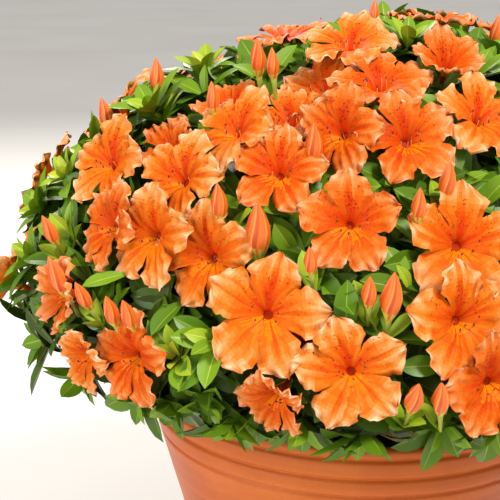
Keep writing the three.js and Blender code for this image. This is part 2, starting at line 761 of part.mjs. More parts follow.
// Twigs that fork again and again until each end carries one bloom, shoot or bud
function growTwigs(skin, mouth, from, ends) {
  const thick = TWIG_RADIUS + TWIG_GROWTH * Math.sqrt(ends.length);
  if (ends.length === 1) {
    const { foot, leafy } = ends[0];
    const direction = foot.clone().sub(from).normalize();
    if (leafy) {
      const neck = foot.clone().addScaledVector(direction, -KNOT_LENGTH);
      const thin = carryOn(skin, mouth, neck, direction, thick);
      const knot = carryOn(skin, thin, foot, direction, SHOOT_KNOT);
      const tip = foot.clone().addScaledVector(direction, KNOT_LENGTH);
      pointOf(skin, knot, tip).forEach((triangle) => skin.faces.push(...triangle));
    } else {
      skin.faces.push(...carryOn(skin, mouth, foot, direction, thick));
    }
    return;
  }
  const middle = new THREE.Vector3();
  ends.forEach((end) => middle.addScaledVector(end.foot, 1 / ends.length));
  const fork = from.clone().lerp(middle, FORK_SHARE);
  const direction = fork.clone().sub(from).normalize();
  const ring = carryOn(skin, mouth, fork, direction, thick);
  const mouths = pointOf(skin, ring, fork.clone().addScaledVector(direction, thick));
  shareOut(skin, mouths, fork, ends).forEach((group, i) => {
    if (group.length) growTwigs(skin, mouths[i], fork, group);
    else skin.faces.push(...mouths[i]);
  });
}

// Puts the blooms, shoots and buds of one mass in place and joins them all to its stem
function buildMass(mass, limbPoints, random) {
  mass.solids = [];
  const ends = [];
  for (const bloom of mass.blooms) {
    const foot = crownPoint(bloom.bearing, bloom.rise, BLOOM_RIM);
    foot.addScaledVector(bloom.facing, -BLOOM_BACK * BLOOM_DEPTH);
    const roll = BLOOM_ROLL * (random() - 0.5);
    const geometry = pose(bloomGeometry(bloom.span, random), foot, bloom.facing, roll);
    foot.add(pullInside(geometry, mass));
    if (!geometryFits(geometry, mass, limbPoints, LIMITS.blossom)) continue;
    const root = foot.clone().addScaledVector(bloom.facing, ROOT_DEPTH);
    bloom.root = root;
    mass.solids.push({ solid: solidOf(geometry), root });
    ends.push({ foot: root });
  }
  for (const bud of mass.buds) {
    const facing = heading(bud.bearing, bud.rise * BUD_LIFT.share + BUD_LIFT.more);
    const raise = BUD_RAISE * Math.cos(degrees(bud.rise));
    const foot = crownPoint(bud.bearing, bud.rise, BUD_TIP);
    foot.addScaledVector(facing, (raise - 1) * bud.length);
    const geometry = pose(budGeometry(bud.length), foot, facing);
    foot.add(pullInside(geometry, mass));
    if (!geometryFits(geometry, mass, limbPoints, LIMITS.blossom)) continue;
    const root = foot.clone().addScaledVector(facing, ROOT_DEPTH);
    mass.solids.push({ solid: solidOf(geometry), root });
    ends.push({ foot: root });
  }
  for (const shoot of mass.shoots) {
    const foot = crownPoint(shoot.bearing, shoot.rise, shoot.standsOut ? OUTER_SHOOT_START : SHOOT_START);
    const probe = pose(budGeometry(BUD_LENGTH), foot, shoot.facing);
    foot.add(pullInside(probe, mass));
    const upright = shoot.standsOut ? LIMITS.outerLeaf : LIMITS.leaf;
    const limits = shoot.facing.z < 0 ? LIMITS.hangingLeaf : upright;
    const before = mass.solids.length;
    addLeaves(mass, foot, shoot.facing, SHOOT_LEAVES, limits, random, limbPoints);
    if (mass.solids.length > before) ends.push({ foot, leafy: true });
  }
  for (const bloom of mass.blooms) {
    if (bloom.root) addLeaves(mass, bloom.root, bloom.facing, BLOOM_LEAVES, LIMITS.leaf, random, limbPoints);
  }
  const core = coreGeometry(mass, limbPoints, random);
  addCoreLeaves(mass, cornersOf(core), limbPoints, random);
  mass.solids.push({ solid: solidOf(core) });
  const stemStart = mass.boughTip.clone().addScaledVector(mass.boughEndDirection, CLEAR);
  growStem(mass, stemStart, ends);
}

// The stem runs on from the bough's end, square to its cut, and divides into twigs past the hub
function growStem(mass, stemStart, ends) {
  const direction = mass.boughEndDirection;
  const skin = { corners: [], faces: [] };
  const across = new THREE.Vector3(0, 0, 1).cross(direction);
  if (across.length() < 0.05) across.set(1, 0, 0);
  across.normalize();
  const foot = [0, 1, 2].map((i) => {
    const arm = across.clone().applyAxisAngle(direction, (2 * Math.PI * i) / 3);
    return skin.corners.push(stemStart.clone().addScaledVector(arm, STEM_RADIUS)) - 1;
  });
  skin.faces.push(foot[0], foot[2], foot[1]);
  const middle = stemStart.clone().lerp(mass.hub, 0.5);
  const towardsHub = mass.hub.clone().sub(stemStart).normalize();
  const ring = carryOn(skin, foot, middle, towardsHub, STEM_RADIUS * STEM_TAPER);
  growTwigs(skin, ring, mass.hub, ends);
  mass.solids.push({ solid: solidOf(skinGeometry(skin)) });
}

// Joins a mass's solids without their slivers and keeps the one body that its stem belongs to
function joinMass(mass) {
  const whole = mass.solids.map((item) => item.solid).reduce((joined, next) => joined.add(next));
  const body = whole.decompose().sort((a, b) => b.volume() - a.volume())[0];
  return body.simplify(SLIVER);
}

function named(name, geometry, material) {
  const mesh = new THREE.Mesh(geometry, material);
  mesh.name = name;
  return mesh;
}

function material(colour, roughness) {
  return new THREE.MeshStandardMaterial({ color: colour, roughness, metalness: 0 });
}

const barkMaterial = material(PALETTE.bark, 0.85);
const foliageMaterial = material(PALETTE.foliage, 0.5);
const trunk = trunkCurve();
const masses = makeMasses();
makeWalls(masses);
makeBoughs(masses, trunk);

const group = new THREE.Group();
group.add(named("pot", potGeometry(), material(PALETTE.terracotta, 0.6)));
group.add(named("soil", soilGeometry(), material(PALETTE.soil, 0.95)));
group.add(named("trunk", limbGeometry(trunk, trunkRadius, TRUNK_SIDES, TRUNK_RINGS), barkMaterial));

// Each bough is cut clear of the trunk by a slightly thicker copy of it
const roomRadius = (share, angle) => trunkRadius(share, angle) + TRUNK_ROOM;
const trunkRoom = solidOf(limbGeometry(trunk, roomRadius, TRUNK_SIDES, TRUNK_RINGS));
const boughRadius = (share) => THREE.MathUtils.lerp(BOUGH_RADIUS, BOUGH_TIP_RADIUS, share);
const limbPoints = [];
for (const mass of masses) {
  const geometry = limbGeometry(mass.boughCurve, boughRadius, BOUGH_SIDES, BOUGH_RINGS);
  const cut = solidOf(geometry).subtract(trunkRoom);
  group.add(named(mass.name.replace("foliage", "bough"), geometryOf(cut), barkMaterial));
  for (let i = 0; i <= BOUGH_STEPS; i++) {
    const share = i / BOUGH_STEPS;
    limbPoints.push({ point: mass.boughCurve.getPoint(share), radius: boughRadius(share) + BOUGH_ROOM });
  }
}

const random = randomFrom(2026);
const blooms = makeBlooms(random);
const shoots = makeShoots(blooms);
for (const mass of masses) {
  mass.blooms = blooms.filter((bloom) => nearestMass(bloom.point, masses) === mass);
  mass.shoots = shoots.filter((shoot) => nearestMass(shoot.point, masses) === mass);
  mass.buds = FRONT_BUDS.map(([bearing, rise, length]) => ({ bearing, rise, length })).filter(
    (bud) => nearestMass(crownPoint(bud.bearing, bud.rise, 1), masses) === mass,
  );
  buildMass(mass, limbPoints, random);
  group.add(named(mass.name, geometryOf(joinMass(mass)), foliageMaterial));
}

export default group;
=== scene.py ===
# The looks of a flowering azalea in its round terracotta planter.
# Sizes are in millimetres until a mesh is made; the scene itself is in metres.
# The side seen from the front faces -Y, with +X to its right.
import math

import bpy
import numpy as np
from mathutils import Matrix


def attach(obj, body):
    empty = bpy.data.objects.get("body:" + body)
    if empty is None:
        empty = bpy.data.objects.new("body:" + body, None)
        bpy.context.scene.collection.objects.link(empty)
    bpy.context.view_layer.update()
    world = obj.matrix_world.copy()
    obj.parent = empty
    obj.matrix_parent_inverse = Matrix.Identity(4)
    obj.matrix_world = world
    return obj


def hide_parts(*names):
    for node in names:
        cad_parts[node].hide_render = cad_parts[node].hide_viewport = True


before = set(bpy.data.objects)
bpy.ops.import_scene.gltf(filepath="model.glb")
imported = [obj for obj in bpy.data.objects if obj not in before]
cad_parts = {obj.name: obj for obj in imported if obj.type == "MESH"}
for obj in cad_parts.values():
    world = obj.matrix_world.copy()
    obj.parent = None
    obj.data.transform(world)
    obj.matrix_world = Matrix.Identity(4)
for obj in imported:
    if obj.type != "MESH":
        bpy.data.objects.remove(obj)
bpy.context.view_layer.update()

MM = 0.001
UP = np.array([0.0, 0.0, 1.0])
TURN = 2 * math.pi
WHITE = (255, 255, 255)

# Camera, fitted to the planter's grooves in the photo
CAMERA_PLACE = (-0.0819, -0.9427, 0.5735)
CAMERA_PITCH = 14.18
CAMERA_ROLL = 0.85
CAMERA_LENS = 93.6

# Planter, as in the source
POT_HEIGHT = 240
POT_FOOT_RADIUS = 89
POT_TAPER = 0.297
COLLAR_START = 205
COLLAR_SWELL = 2.2
COLLAR_EASE = 12
GROOVES = [205, 218, 232]
GROOVE_DEPTH = 1.9
GROOVE_WIDTH = 1.5
BAND_BULGE = 0.5
POT_WALL = 9
POT_FLOOR = 12
LIP_ROUND = 3.6
LIP_STEPS = 12
POT_SIDES = 144
SOIL_LEVEL = 222
SOIL_FALL = 3
# The gap from the soil to the wall, the soil's grid and the number of its loose crumbs
SOIL_ROOM = 0.6
SOIL_RINGS = 26
SOIL_SIDES = 120
CRUMBS = 900

# Trunk and boughs, as in the source
# The gap between a limb and what it stands on
CLEAR = 0.3
TRUNK_TOP = 278
TRUNK_RADIUS = 13
TRUNK_TIP_RADIUS = 9
FLARE_RADIUS = 25
FLARE_HEIGHT = 9
TRUNK_LEAN = 6
# Bark relief, as shares of a limb's radius
RIDGE_DEPTH = 0.16
KNOT_DEPTH = 0.03
BOUGH_RADIUS = 4.2
BOUGH_TIP_RADIUS = 3.2
BOUGH_TIERS = {"top": (0.985, 0), "upper": (0.66, -12), "lower": (0.3, 4)}
STEM_RADIUS = 3.4
BOUGH_END = 0.4
STEM_END = 0.52
TRUNK_SIDES = 48
BOUGH_SIDES = 18
MASS_CENTRE = 0.66

# Crown, as in the source
CROWN_CENTRE = np.array([0.0, 0.0, 293.0])
CROWN_REACH = np.array([268.0, 240.0, 228.0])
CROWN_SLACK = 1.05
SHOOT_SLACK = 1.09
# One shoulder is lower than the dome: bearing, rise, how wide as a cosine, how deep
SHOULDER = (-122, 60, 0.86, 0.1)
SKIRT_LOWEST = 246
SKIRT_SLOPE = 0.5
SKIRT_HANG = 221
RIM_CLEAR_RADIUS = 157
UPPER_RING = (38, -22, ["front", "right", "back_right", "back_left", "left"])
LOWER_SIDES = ["front", "front_right", "right", "back_right", "back_left", "left", "front_left"]
LOWER_RING = (-2, -8, LOWER_SIDES)
EVEN_TURN = 137.508
TWIG_RADIUS = 0.8
TWIG_GROWTH = 0.3
FORK_SHARE = 0.48

# Blossom
PETALS = 5
BLOOM_DEPTH = 28
BLOOM_RIM = 0.95
BLOOM_RIM_BEHIND = 0.87
BLOOM_BACK = 0.8
BLOOM_LIFT = 4
# Rows of blooms that lie behind a neighbour's petals, and where they sit instead
SUNK_BLOOMS = {2: 0.92, 15: 0.93, 16: 0.94, 18: 0.93}
# Blooms that face the front: bearing and rise on the dome, bearing and rise they face, span,
# how far open, where that isn't all the way
FRONT_BLOOMS = [
    (-17, 15, -12, 14, 80), (-6, 30, -5, 20, 66), (-28, 23, -34, 10, 72),
    (-38, 25, -40, 12, 70), (-47, 25, -56, 18, 64), (-37, 35, -40, 30, 68),
    (-57, 35, -44, 28, 68), (-19, 38, -14, 32, 62), (-31, 45, -45, 44, 68),
    (-9, 46, -34, 22, 64), (-1, 57, -5, 64, 70), (4, 45, 6, 34, 66),
    (-12, 69, -12, 66, 70), (21, 62, 10, 55, 60, 0.55), (21, 49, 28, 42, 68),
    (11, 27, 10, 20, 76), (10, 15, 24, 14, 74, 0.95), (-5, 7, -5, 12, 73),
    (-15, 2, -34, -28, 54, 0.8), (-37, 5, -42, 0, 66), (-46, 3, -48, -10, 50, 0.8),
    (-53, 12, -60, 8, 58, 0.7), (14, 5, 18, 4, 70, 0.9), (-24, 52, -20, 62, 64, 0.95),
    (-12, 11, -8, 2, 40, 0.6), (-50, 42, -50, 50, 50, 0.7), (-45, 54, -52, 60, 50, 0.8),
    (-19, 61, -50, 45, 66),
]
SHOWN_IN_SOURCE = 23
BLOOM_LOWEST = 3
# The part of the dome whose blooms and buds are given: its least and most bearing, its most rise
FRONT_WINDOW = (-80, 24, 72)
# Even spreads: how many places, the lowest rise, where the spiral starts, the least spacing
BLOOM_SPREAD = (84, -4, 305, 67)
FINE_BLOOM_SPREAD = (220, -6, 40, 52)
SHOOT_SPREAD = (240, -12, 75, 47)
BUD_SPREAD = (160, 14, 150, 84)
# Shoots that hang over the rim start no lower than this rise
HANGING_LOWEST = -3

# Buds: bearing, rise, length
FRONT_BUDS = [
    (-64, 53, 28), (-66, 43, 28), (-58, 22, 26), (-37, 61, 28),
    (-30, 59, 23), (-26, 32, 28), (-13, 43, 30), (-19, 29, 41),
    (-3, 20, 26), (4, 33, 25), (9, 37, 28), (0, 20, 36),
    (3, 5, 30), (6, 5, 30), (-36, 13, 26), (-39, 13, 26),
    (-52, 16, 33), (-38, 50, 23), (-11, 24, 22), (-45, 14, 25),
]

# Leafy shoots: bearing, rise, rise of the way they point, how young their leaves are
FRONT_SHOOTS = [
    (-48, 59, 75, 1), (-46, 50, 62, 1), (-60, 47, 55, 1), (-24, 29, 45, 1),
    (15, 71, 75, 1), (3, 38, 50, 0), (15, 50, 60, 1), (17, 40, 50, 0),
    (3, 20, 40, 1), (-8, 19, 45, 0), (-30, 6, 30, 2), (-62, 10, 20, 0),
    (-58, 21, 35, 1), (-26, 0, -35, 0), (-52, 6, -15, 0), (4, -2, 10, 0),
    (9, -3, -30, 1), (-3, -4, -60, 0), (-19, -2, -55, 0), (-40, -2, -40, 0),
    (-33, -2, -45, 0), (-23, -4, -60, 0), (-12, -3, -55, 0), (17, -3, -50, 0),
    (30, 60, 70, 1), (-72, 30, 40, 2), (-77, 8, 15, 1), (-78, 22, 30, 1),
    (-72, -2, -5, 0), (-70, 60, 70, 2), (-70, 14, 25, 1), (-76, 46, 55, 2),
    (-44, 30, 45, 1), (-30, 36, 50, 2), (-13, 33, 45, 1), (-6, 12, 30, 1),
    (8, 8, 25, 1), (-24, 10, 25, 1), (-42, 18, 30, 1), (12, 56, 62, 1),
    (-8, 54, 60, 1),
]


def srgb(red, green, blue):
    """A colour given as screen numbers, as the shader wants it."""
    shares = [value / 255 for value in (red, green, blue)]
    return tuple(s / 12.92 if s <= 0.04045 else ((s + 0.055) / 1.055) ** 2.4 for s in shares) + (1.0,)


class Look:
    """A node material, with short ways to make the nodes that feed its shader."""

    def __init__(self, name):
        self.material = bpy.data.materials.new(name)
        self.material.use_nodes = True
        self.nodes = self.material.node_tree.nodes
        self.links = self.material.node_tree.links

    def feed(self, node, **sockets):
        """Sets a node's inputs to constants, or links them to other nodes' outputs."""
        for name, value in sockets.items():
            socket = node.inputs[name.replace("_", " ")]
            if isinstance(value, bpy.types.NodeSocket):
                self.links.new(value, socket)
            else:
                socket.default_value = value

    def shade(self, **sockets):
        self.feed(self.nodes["Principled BSDF"], **sockets)
        return self.material

    def node(self, kind, output, **sockets):
        made = self.nodes.new("ShaderNode" + kind)
        self.feed(made, **sockets)
        return made.outputs[output]

    def coordinates(self, x=1, y=1, z=1):
        """Object coordinates, stretched along each axis."""
        return self.node("Mapping", "Vector", Vector=self.node("TexCoord", "Object"), Scale=(x, y, z))

    def noise(self, place, scale, detail, roughness=0.5):
        return self.node("TexNoise", "Fac", Vector=place, Scale=scale, Detail=detail, Roughness=roughness)

    def bump(self, height, strength, distance, **before):
        return self.node("Bump", "Normal", Height=height, Strength=strength, Distance=distance, **before)

    def ramp(self, source, *stops):
        colour_out = self.node("ValToRGB", "Color", Fac=source)
        points = colour_out.node.color_ramp.elements
        while len(points) < len(stops):
            points.new(0.5)
        for point, (place, colour) in zip(points, stops):
            point.position = place
            point.color = srgb(*colour)
        return colour_out

    def darkened(self, share, *colours):
        """A colour multiplied by another, by a share."""
        mix = self.nodes.new("ShaderNodeMix")
        mix.data_type = "RGBA"
        mix.blend_type = "MULTIPLY"
        mix.inputs["Factor"].default_value = share
        for colour, socket in zip(colours, [s for s in mix.inputs if s.type == "RGBA"]):
            self.links.new(colour, socket)
        return next(s for s in mix.outputs if s.type == "RGBA")


def plain(name, colour, roughness, **more):
    """A material of one base colour, for small things that take their colour from their place."""
    return Look(name).shade(Base_Color=srgb(*colour), Roughness=roughness, **more)


def random_from(seed):
    """The source's own seeded random numbers between 0 and 1."""
    state = [seed]

    def draw():
        state[0] = (state[0] * 1664525 + 1013904223) & 0xFFFFFFFF
        return state[0] / 4294967296

    return draw


def unit(vector):
    return vector / max(np.linalg.norm(vector), 1e-9)


def heading(bearing, rise):
    """A unit vector from a bearing, 0 towards -Y and growing towards +X, and a rise above level."""
    b, r = math.radians(bearing), math.radians(rise)
    return np.array([math.sin(b) * math.cos(r), -math.cos(b) * math.cos(r), math.sin(r)])


def crown_share(directions):
    """How far the crown reaches in some directions, as a share of its dome."""
    bearing, rise, cosine, depth = SHOULDER
    match = directions @ heading(bearing, rise)
    return 1 - depth * np.clip((match - cosine) / (1 - cosine), 0, 1)


def crown_point(bearing, rise, share):
    direction = heading(bearing, rise)
    return direction * CROWN_REACH * share * crown_share(direction) + CROWN_CENTRE


def square_to(axis, towards):
    """The part of a direction that is square to an axis."""
    across = towards - axis * np.dot(towards, axis)
    if np.linalg.norm(across) < 0.08:
        across = np.array([1.0, 0.0, 0.0]) - axis * axis[0]
    return unit(across)


def round_angles(sides):
    return np.arange(sides) * TURN / sides


def placed(name, data):
    """A new object in the scene."""
    made = bpy.data.objects.new(name, data)
    bpy.context.scene.collection.objects.link(made)
    return made


class Pile:
    """Corners and faces, gathered until they become one piece."""

    def __init__(self):
        self.corners, self.faces, self.slots, self.count = [], [], [], 0

    def add(self, corners, faces, slots):
        self.corners.append(corners)
        self.faces.append(np.where(faces >= 0, faces + self.count, -1))
        self.slots.append(np.broadcast_to(slots, len(faces)))
        self.count += len(corners)

    def add_rings(self, rings, ends, slot=0):
        """Joins each ring to the next, and the last one, or both the first and the last, to a point."""
        sides = len(rings[0])
        count = len(rings) * sides
        turn = np.arange(sides)
        after = (turn + 1) % sides
        none = np.full(sides, -1)
        last = count - sides
        faces = [grid_faces(len(rings), sides, closed=True)]
        if len(ends) == 2:
            faces.append(np.stack([after, turn, none + count + 1, none], axis=-1))
        faces.append(np.stack([last + turn, last + after, none + count + len(ends), none], axis=-1))
        self.add(np.concatenate([*rings, ends]), np.concatenate(faces), slot)

    def piece(self, name, materials):
        corners = np.concatenate(self.corners) * MM
        faces = np.concatenate(self.faces)
        totals = (faces >= 0).sum(axis=1)
        loops = faces[faces >= 0]
        mesh = bpy.data.meshes.new(name)
        mesh.vertices.add(len(corners))
        mesh.vertices.foreach_set("co", corners.astype(np.float32).ravel())
        mesh.loops.add(len(loops))
        mesh.loops.foreach_set("vertex_index", loops.astype(np.int32))
        mesh.polygons.add(len(faces))
        starts = np.cumsum(totals) - totals
        columns = {"loop_start": starts, "loop_total": totals, "material_index": np.concatenate(self.slots)}
        for key, column in columns.items():
            mesh.polygons.foreach_set(key, column.astype(np.int32))
        mesh.polygons.foreach_set("use_smooth", np.full(len(faces), True))
        mesh.update(calc_edges=True)
        mesh.validate()
        for material in materials:
            mesh.materials.append(material)
        made = placed(name, mesh)
        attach(made, "root")
        return made


def grid_faces(rows, columns, closed=False):
    """Four-cornered faces over a grid of corners; a closed one runs round."""
    wide = columns if closed else columns - 1
    row, column = np.meshgrid(np.arange(rows - 1), np.arange(wide), indexing="ij")
    here = row * columns + column
    after = row * columns + (column + 1) % columns
    return np.stack([here, after, after + columns, here + columns], axis=-1).reshape(-1, 4)


def level_ring(radius, height, sides):
    angles = round_angles(sides)
    return np.stack([radius * np.cos(angles), radius * np.sin(angles), np.full(sides, height)], axis=-1)


def unit_circles(points, sides, start):
    """A circle of directions square to a path at each of its points, and the way it ends."""
    along = np.gradient(points, axis=0)
    along /= np.linalg.norm(along, axis=1)[:, None]
    across = square_to(along[0], start)
    angles = round_angles(sides)[:, None]
    circles = []
    for way in along:
        across = square_to(way, across)
        circles.append(np.cos(angles) * across + np.sin(angles) * np.cross(way, across))
    return circles, along[-1]


def tube(pile, points, radii, sides, slot):
    """A round twig along points, closed at its far end."""
    circles, way = unit_circles(points, sides, UP)
    rings = [point + radius * circle for point, radius, circle in zip(points, radii, circles)]
    pile.add_rings(rings, [points[-1] + way * radii[-1]], slot)


# Planter and soil


def wall_radius(height):
    below = np.minimum(height, COLLAR_START)
    above = np.maximum(height - COLLAR_START, 0)
    return POT_FOOT_RADIUS + POT_TAPER * below + COLLAR_SWELL * (1 - np.exp(-above / COLLAR_EASE))


def make_planter():
    foot = POT_FOOT_RADIUS
    profile = [(40, 0), (foot - 3, 0), (foot - 0.8, 0.8), (foot + 0.6, 3)]
    for height in np.concatenate([np.linspace(8, 196, 22), np.linspace(199, POT_HEIGHT - LIP_ROUND, 76)]):
        radius = wall_radius(height)
        for groove in GROOVES:
            radius -= GROOVE_DEPTH * math.exp(-(((height - groove) / GROOVE_WIDTH) ** 2))
        for low, high in zip(GROOVES, GROOVES[1:]):
            if low < height < high:
                radius += BAND_BULGE * math.sin(math.pi * (height - low) / (high - low))
        profile.append((radius, height))
    outer = wall_radius(POT_HEIGHT)
    for i in range(1, LIP_STEPS + 1):
        angle = math.pi * i / LIP_STEPS
        radius = outer - POT_WALL / 2 + POT_WALL / 2 * math.cos(angle)
        profile.append((radius, POT_HEIGHT - LIP_ROUND + LIP_ROUND * math.sin(angle)))
    profile += [(outer - POT_WALL - 0.3, height) for height in (228, 222, 214)]
    profile.append((wall_radius(POT_FLOOR) - POT_WALL, POT_FLOOR))
    pile = Pile()
    rings = [level_ring(radius, height, POT_SIDES) for radius, height in profile]
    pile.add_rings(rings, [[0, 0, 0], [0, 0, POT_FLOOR]])
    planter = pile.piece("planter", [terracotta()])
    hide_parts("pot")


def terracotta():
    look = Look("terracotta_clay")
    even = look.coordinates()
    cloud = look.noise(even, 9, 4, 0.55)
    turning = look.noise(look.coordinates(2, 2, 60), 3, 3)
    grain = look.noise(even, 900, 2)
    clay = look.ramp(cloud, (0.3, (176, 80, 26)), (0.52, (194, 95, 34)), (0.72, (206, 110, 46)))
    streak = look.ramp(turning, (0.35, (226, 214, 206)), (0.65, WHITE))
    fleck = look.ramp(grain, (0.28, (150, 84, 56)), (0.36, WHITE))
    clay = look.darkened(0.35, look.darkened(0.5, clay, streak), fleck)
    sheen = look.ramp(cloud, (0.3, (150, 150, 150)), (0.7, (182, 182, 182)))
    relief = look.bump(grain, 0.18, 0.0003, Normal=look.bump(turning, 0.25, 0.0006))
    return look.shade(Base_Color=clay, Roughness=sheen, Specular_IOR_Level=0.25, Normal=relief)


def compost():
    look = Look("damp_compost")
    crumbs = look.noise(look.coordinates(), 160, 5, 0.65)
    earth = look.ramp(crumbs, (0.3, (18, 13, 10)), (0.55, (40, 29, 22)), (0.75, (74, 56, 42)))
    return look.shade(Base_Color=earth, Roughness=0.92, Normal=look.bump(crumbs, 0.8, 0.002))


def soil_level(reach, edge):
    return SOIL_LEVEL - SOIL_FALL * (reach / edge) ** 2


def make_soil(rng):
    """A mound of damp compost with loose crumbs, a little lower along the wall."""
    edge = wall_radius(COLLAR_START) - POT_WALL - SOIL_ROOM
    sides = round_angles(SOIL_SIDES)
    radius, angle = np.meshgrid(np.linspace(0.4, edge, SOIL_RINGS), sides, indexing="ij")
    rough = 0
    for _ in range(12):
        high = rng.uniform(0.3, 0.8)
        phase = angle * int(rng.integers(2, 24)) + radius * rng.uniform(0.02, 0.25)
        rough = rough + high * np.sin(phase + rng.uniform(0, 6))
    fade = np.clip((edge - radius) / 12, 0, 1)
    height = soil_level(radius, edge) + 0.55 * rough * fade
    top = np.stack([radius * np.cos(angle), radius * np.sin(angle), height], axis=-1)
    low = POT_FLOOR + 0.4
    floor = level_ring(wall_radius(POT_FLOOR) - POT_WALL - SOIL_ROOM, low, SOIL_SIDES)
    pile = Pile()
    pile.add_rings([floor, *top[::-1]], [[0, 0, low], [0, 0, SOIL_LEVEL]])
    for _ in range(CRUMBS):
        reach = (edge - 5) * math.sqrt(rng.uniform(0.03, 1))
        way = rng.uniform(0, TURN)
        size = rng.uniform(0.9, 3.2)
        spot = [reach * math.cos(way), reach * math.sin(way), soil_level(reach, edge) + 0.3 * size]
        pile.add(spot + size * crumb(rng), CRUMB_FACES, 0)
    soil = pile.piece("potting_soil", [compost()])
    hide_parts("soil")


CRUMB_SIDES = [(0, 1), (1, 2), (2, 3), (3, 0)]
CRUMB_FACES = np.array([[a, b, 4, -1] for a, b in CRUMB_SIDES] + [[b, a, 5, -1] for a, b in CRUMB_SIDES])


def crumb(rng):
    """The six uneven corners of a crumb."""
    corners = np.array([[1, 0, 0], [0, 1, 0], [-1, 0, 0], [0, -1, 0], [0, 0, 0.8], [0, 0, -0.8]])
    return corners * rng.uniform(0.6, 1.1, (6, 1))


# Trunk and boughs


def bezier(start, middle, end, shares):
    s = np.asarray(shares)[:, None]
    return (1 - s) ** 2 * start + 2 * s * (1 - s) * middle + s**2 * end


def trunk_middle():
    foot = np.array([0.0, 0.0, SOIL_LEVEL + CLEAR])
    tip = np.array([-TRUNK_LEAN, TRUNK_LEAN / 2, TRUNK_TOP])
    return foot, np.array([0.0, 0.0, (foot[2] + tip[2]) / 2]), tip


def bark_tube(pile, points, radii, sides, rng, flare=None):
    """A limb with ridged bark: lengthwise ridges that wander, and small knots."""
    circles, way = unit_circles(points, sides, np.array([0.0, 1.0, 0.0]))
    angles = round_angles(sides)
    waves = [(int(rng.integers(3, 9)), rng.uniform(0, 6), rng.uniform(-0.12, 0.12)) for _ in range(5)]
    rings = []
    for i, (point, radius, circle) in enumerate(zip(points, radii, circles)):
        ridges = [np.abs(np.sin(n * angles / 2 + phase + drift * i)) for n, phase, drift in waves]
        swell = 1 + RIDGE_DEPTH * (sum(ridges) / 5 - 0.6) + KNOT_DEPTH * rng.uniform(-1, 1, sides)
        if flare is not None:
            swell = swell + flare[i] / radius * (1 + 0.3 * np.cos(3 * angles))
        rings.append(point + (radius * swell)[:, None] * circle)
    pile.add_rings(rings, [points[0], points[-1] + 0.5 * way])


def bark():
    look = Look("azalea_bark")
    strand = look.noise(look.coordinates(1, 1, 0.25), 220, 5, 0.6)
    patch = look.noise(look.coordinates(), 40, 3)
    wood = look.ramp(strand, (0.3, (62, 44, 32)), (0.55, (112, 84, 62)), (0.75, (152, 124, 98)))
    shade = look.ramp(patch, (0.35, (170, 160, 150)), (0.65, WHITE))
    relief = look.bump(strand, 0.6, 0.001)
    return look.shade(Base_Color=look.darkened(0.6, wood, shade), Roughness=0.88, Normal=relief)


def make_limbs(masses, rng):
    pile = Pile()
    foot, middle, tip = trunk_middle()
    shares = np.linspace(0, 1, 40)
    heights = shares * (TRUNK_TOP - SOIL_LEVEL)
    radii = TRUNK_RADIUS + (TRUNK_TIP_RADIUS - TRUNK_RADIUS) * shares
    flare = (FLARE_RADIUS - TRUNK_RADIUS) * np.exp(-heights / FLARE_HEIGHT)
    bark_tube(pile, bezier(foot, middle, tip, shares), radii, TRUNK_SIDES, rng, flare)
    shares = np.linspace(0, 1, 26)
    radii = BOUGH_RADIUS + (BOUGH_TIP_RADIUS - BOUGH_RADIUS) * shares
    for mass in masses:
        level, bend = BOUGH_TIERS[mass["level"]]
        start = bezier(foot, middle, tip, [level])[0]
        end = inner_point(mass, BOUGH_END)
        mass["bough"] = bezier(start, (start + end) / 2 + [0, 0, bend], end, shares)
        bark_tube(pile, mass["bough"], radii, BOUGH_SIDES, rng)
    limbs = pile.piece("bark_limbs", [bark()])
    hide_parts("trunk", *[mass["name"].replace("foliage", "bough") for mass in masses])


# Masses and their places


def place_at(bearing, rise):
    return {"bearing": bearing, "rise": rise, "point": crown_point(bearing, rise, 1)}


def inner_point(place, share):
    """The point under a place on the dome, at a share of its reach."""
    return crown_point(place["bearing"], place["rise"], share)


def make_masses():
    masses = [{"name": "foliage_top", "level": "top"} | place_at(0, 90)]
    for level, (rise, first, sides) in (("upper", UPPER_RING), ("lower", LOWER_RING)):
        for i, side in enumerate(sides):
            place = place_at(first + 360 / len(sides) * i, rise)
            masses.append({"name": f"foliage_{level}_{side}", "level": level} | place)
    for mass in masses:
        mass["centre"] = inner_point(mass, MASS_CENTRE)
        mass["hub"] = inner_point(mass, STEM_END)
        mass["ends"] = []
    return masses


def in_window(bearing, rise):
    left, right, top = FRONT_WINDOW
    return left < bearing < right and rise < top


def no_bloom_at(bearing, rise):
    return in_window(bearing, rise) or rise < BLOOM_LOWEST


def carry(masses, point, foot):
    """Lets the mass nearest to a point carry what grows from a foot."""
    nearest = min(masses, key=lambda mass: np.linalg.norm(mass["centre"] - point))
    nearest["ends"].append(foot)


def even_places(spread, taken=(), keep_out=None):
    """Even places over the dome from a spiral, skipping those too near to a place that is taken."""
    count, lowest, phase, spacing = spread
    places = []
    points = [place["point"] for place in taken]
    floor = math.sin(math.radians(lowest))
    for i in range(count):
        rise = math.degrees(math.asin(floor + (1 - floor) * (i + 0.5) / count))
        place = place_at((phase + EVEN_TURN * i + 180) % 360 - 180, rise)
        if keep_out and keep_out(place["bearing"], rise):
            continue
        if points and np.linalg.norm(np.array(points) - place["point"], axis=1).min() < spacing:
            continue
        points.append(place["point"])
        places.append(place)
    return places


def bloom_at(place, face_bearing, face_rise, span, opened=1.0):
    return place | {"facing": heading(face_bearing, face_rise), "span": span, "open": opened}


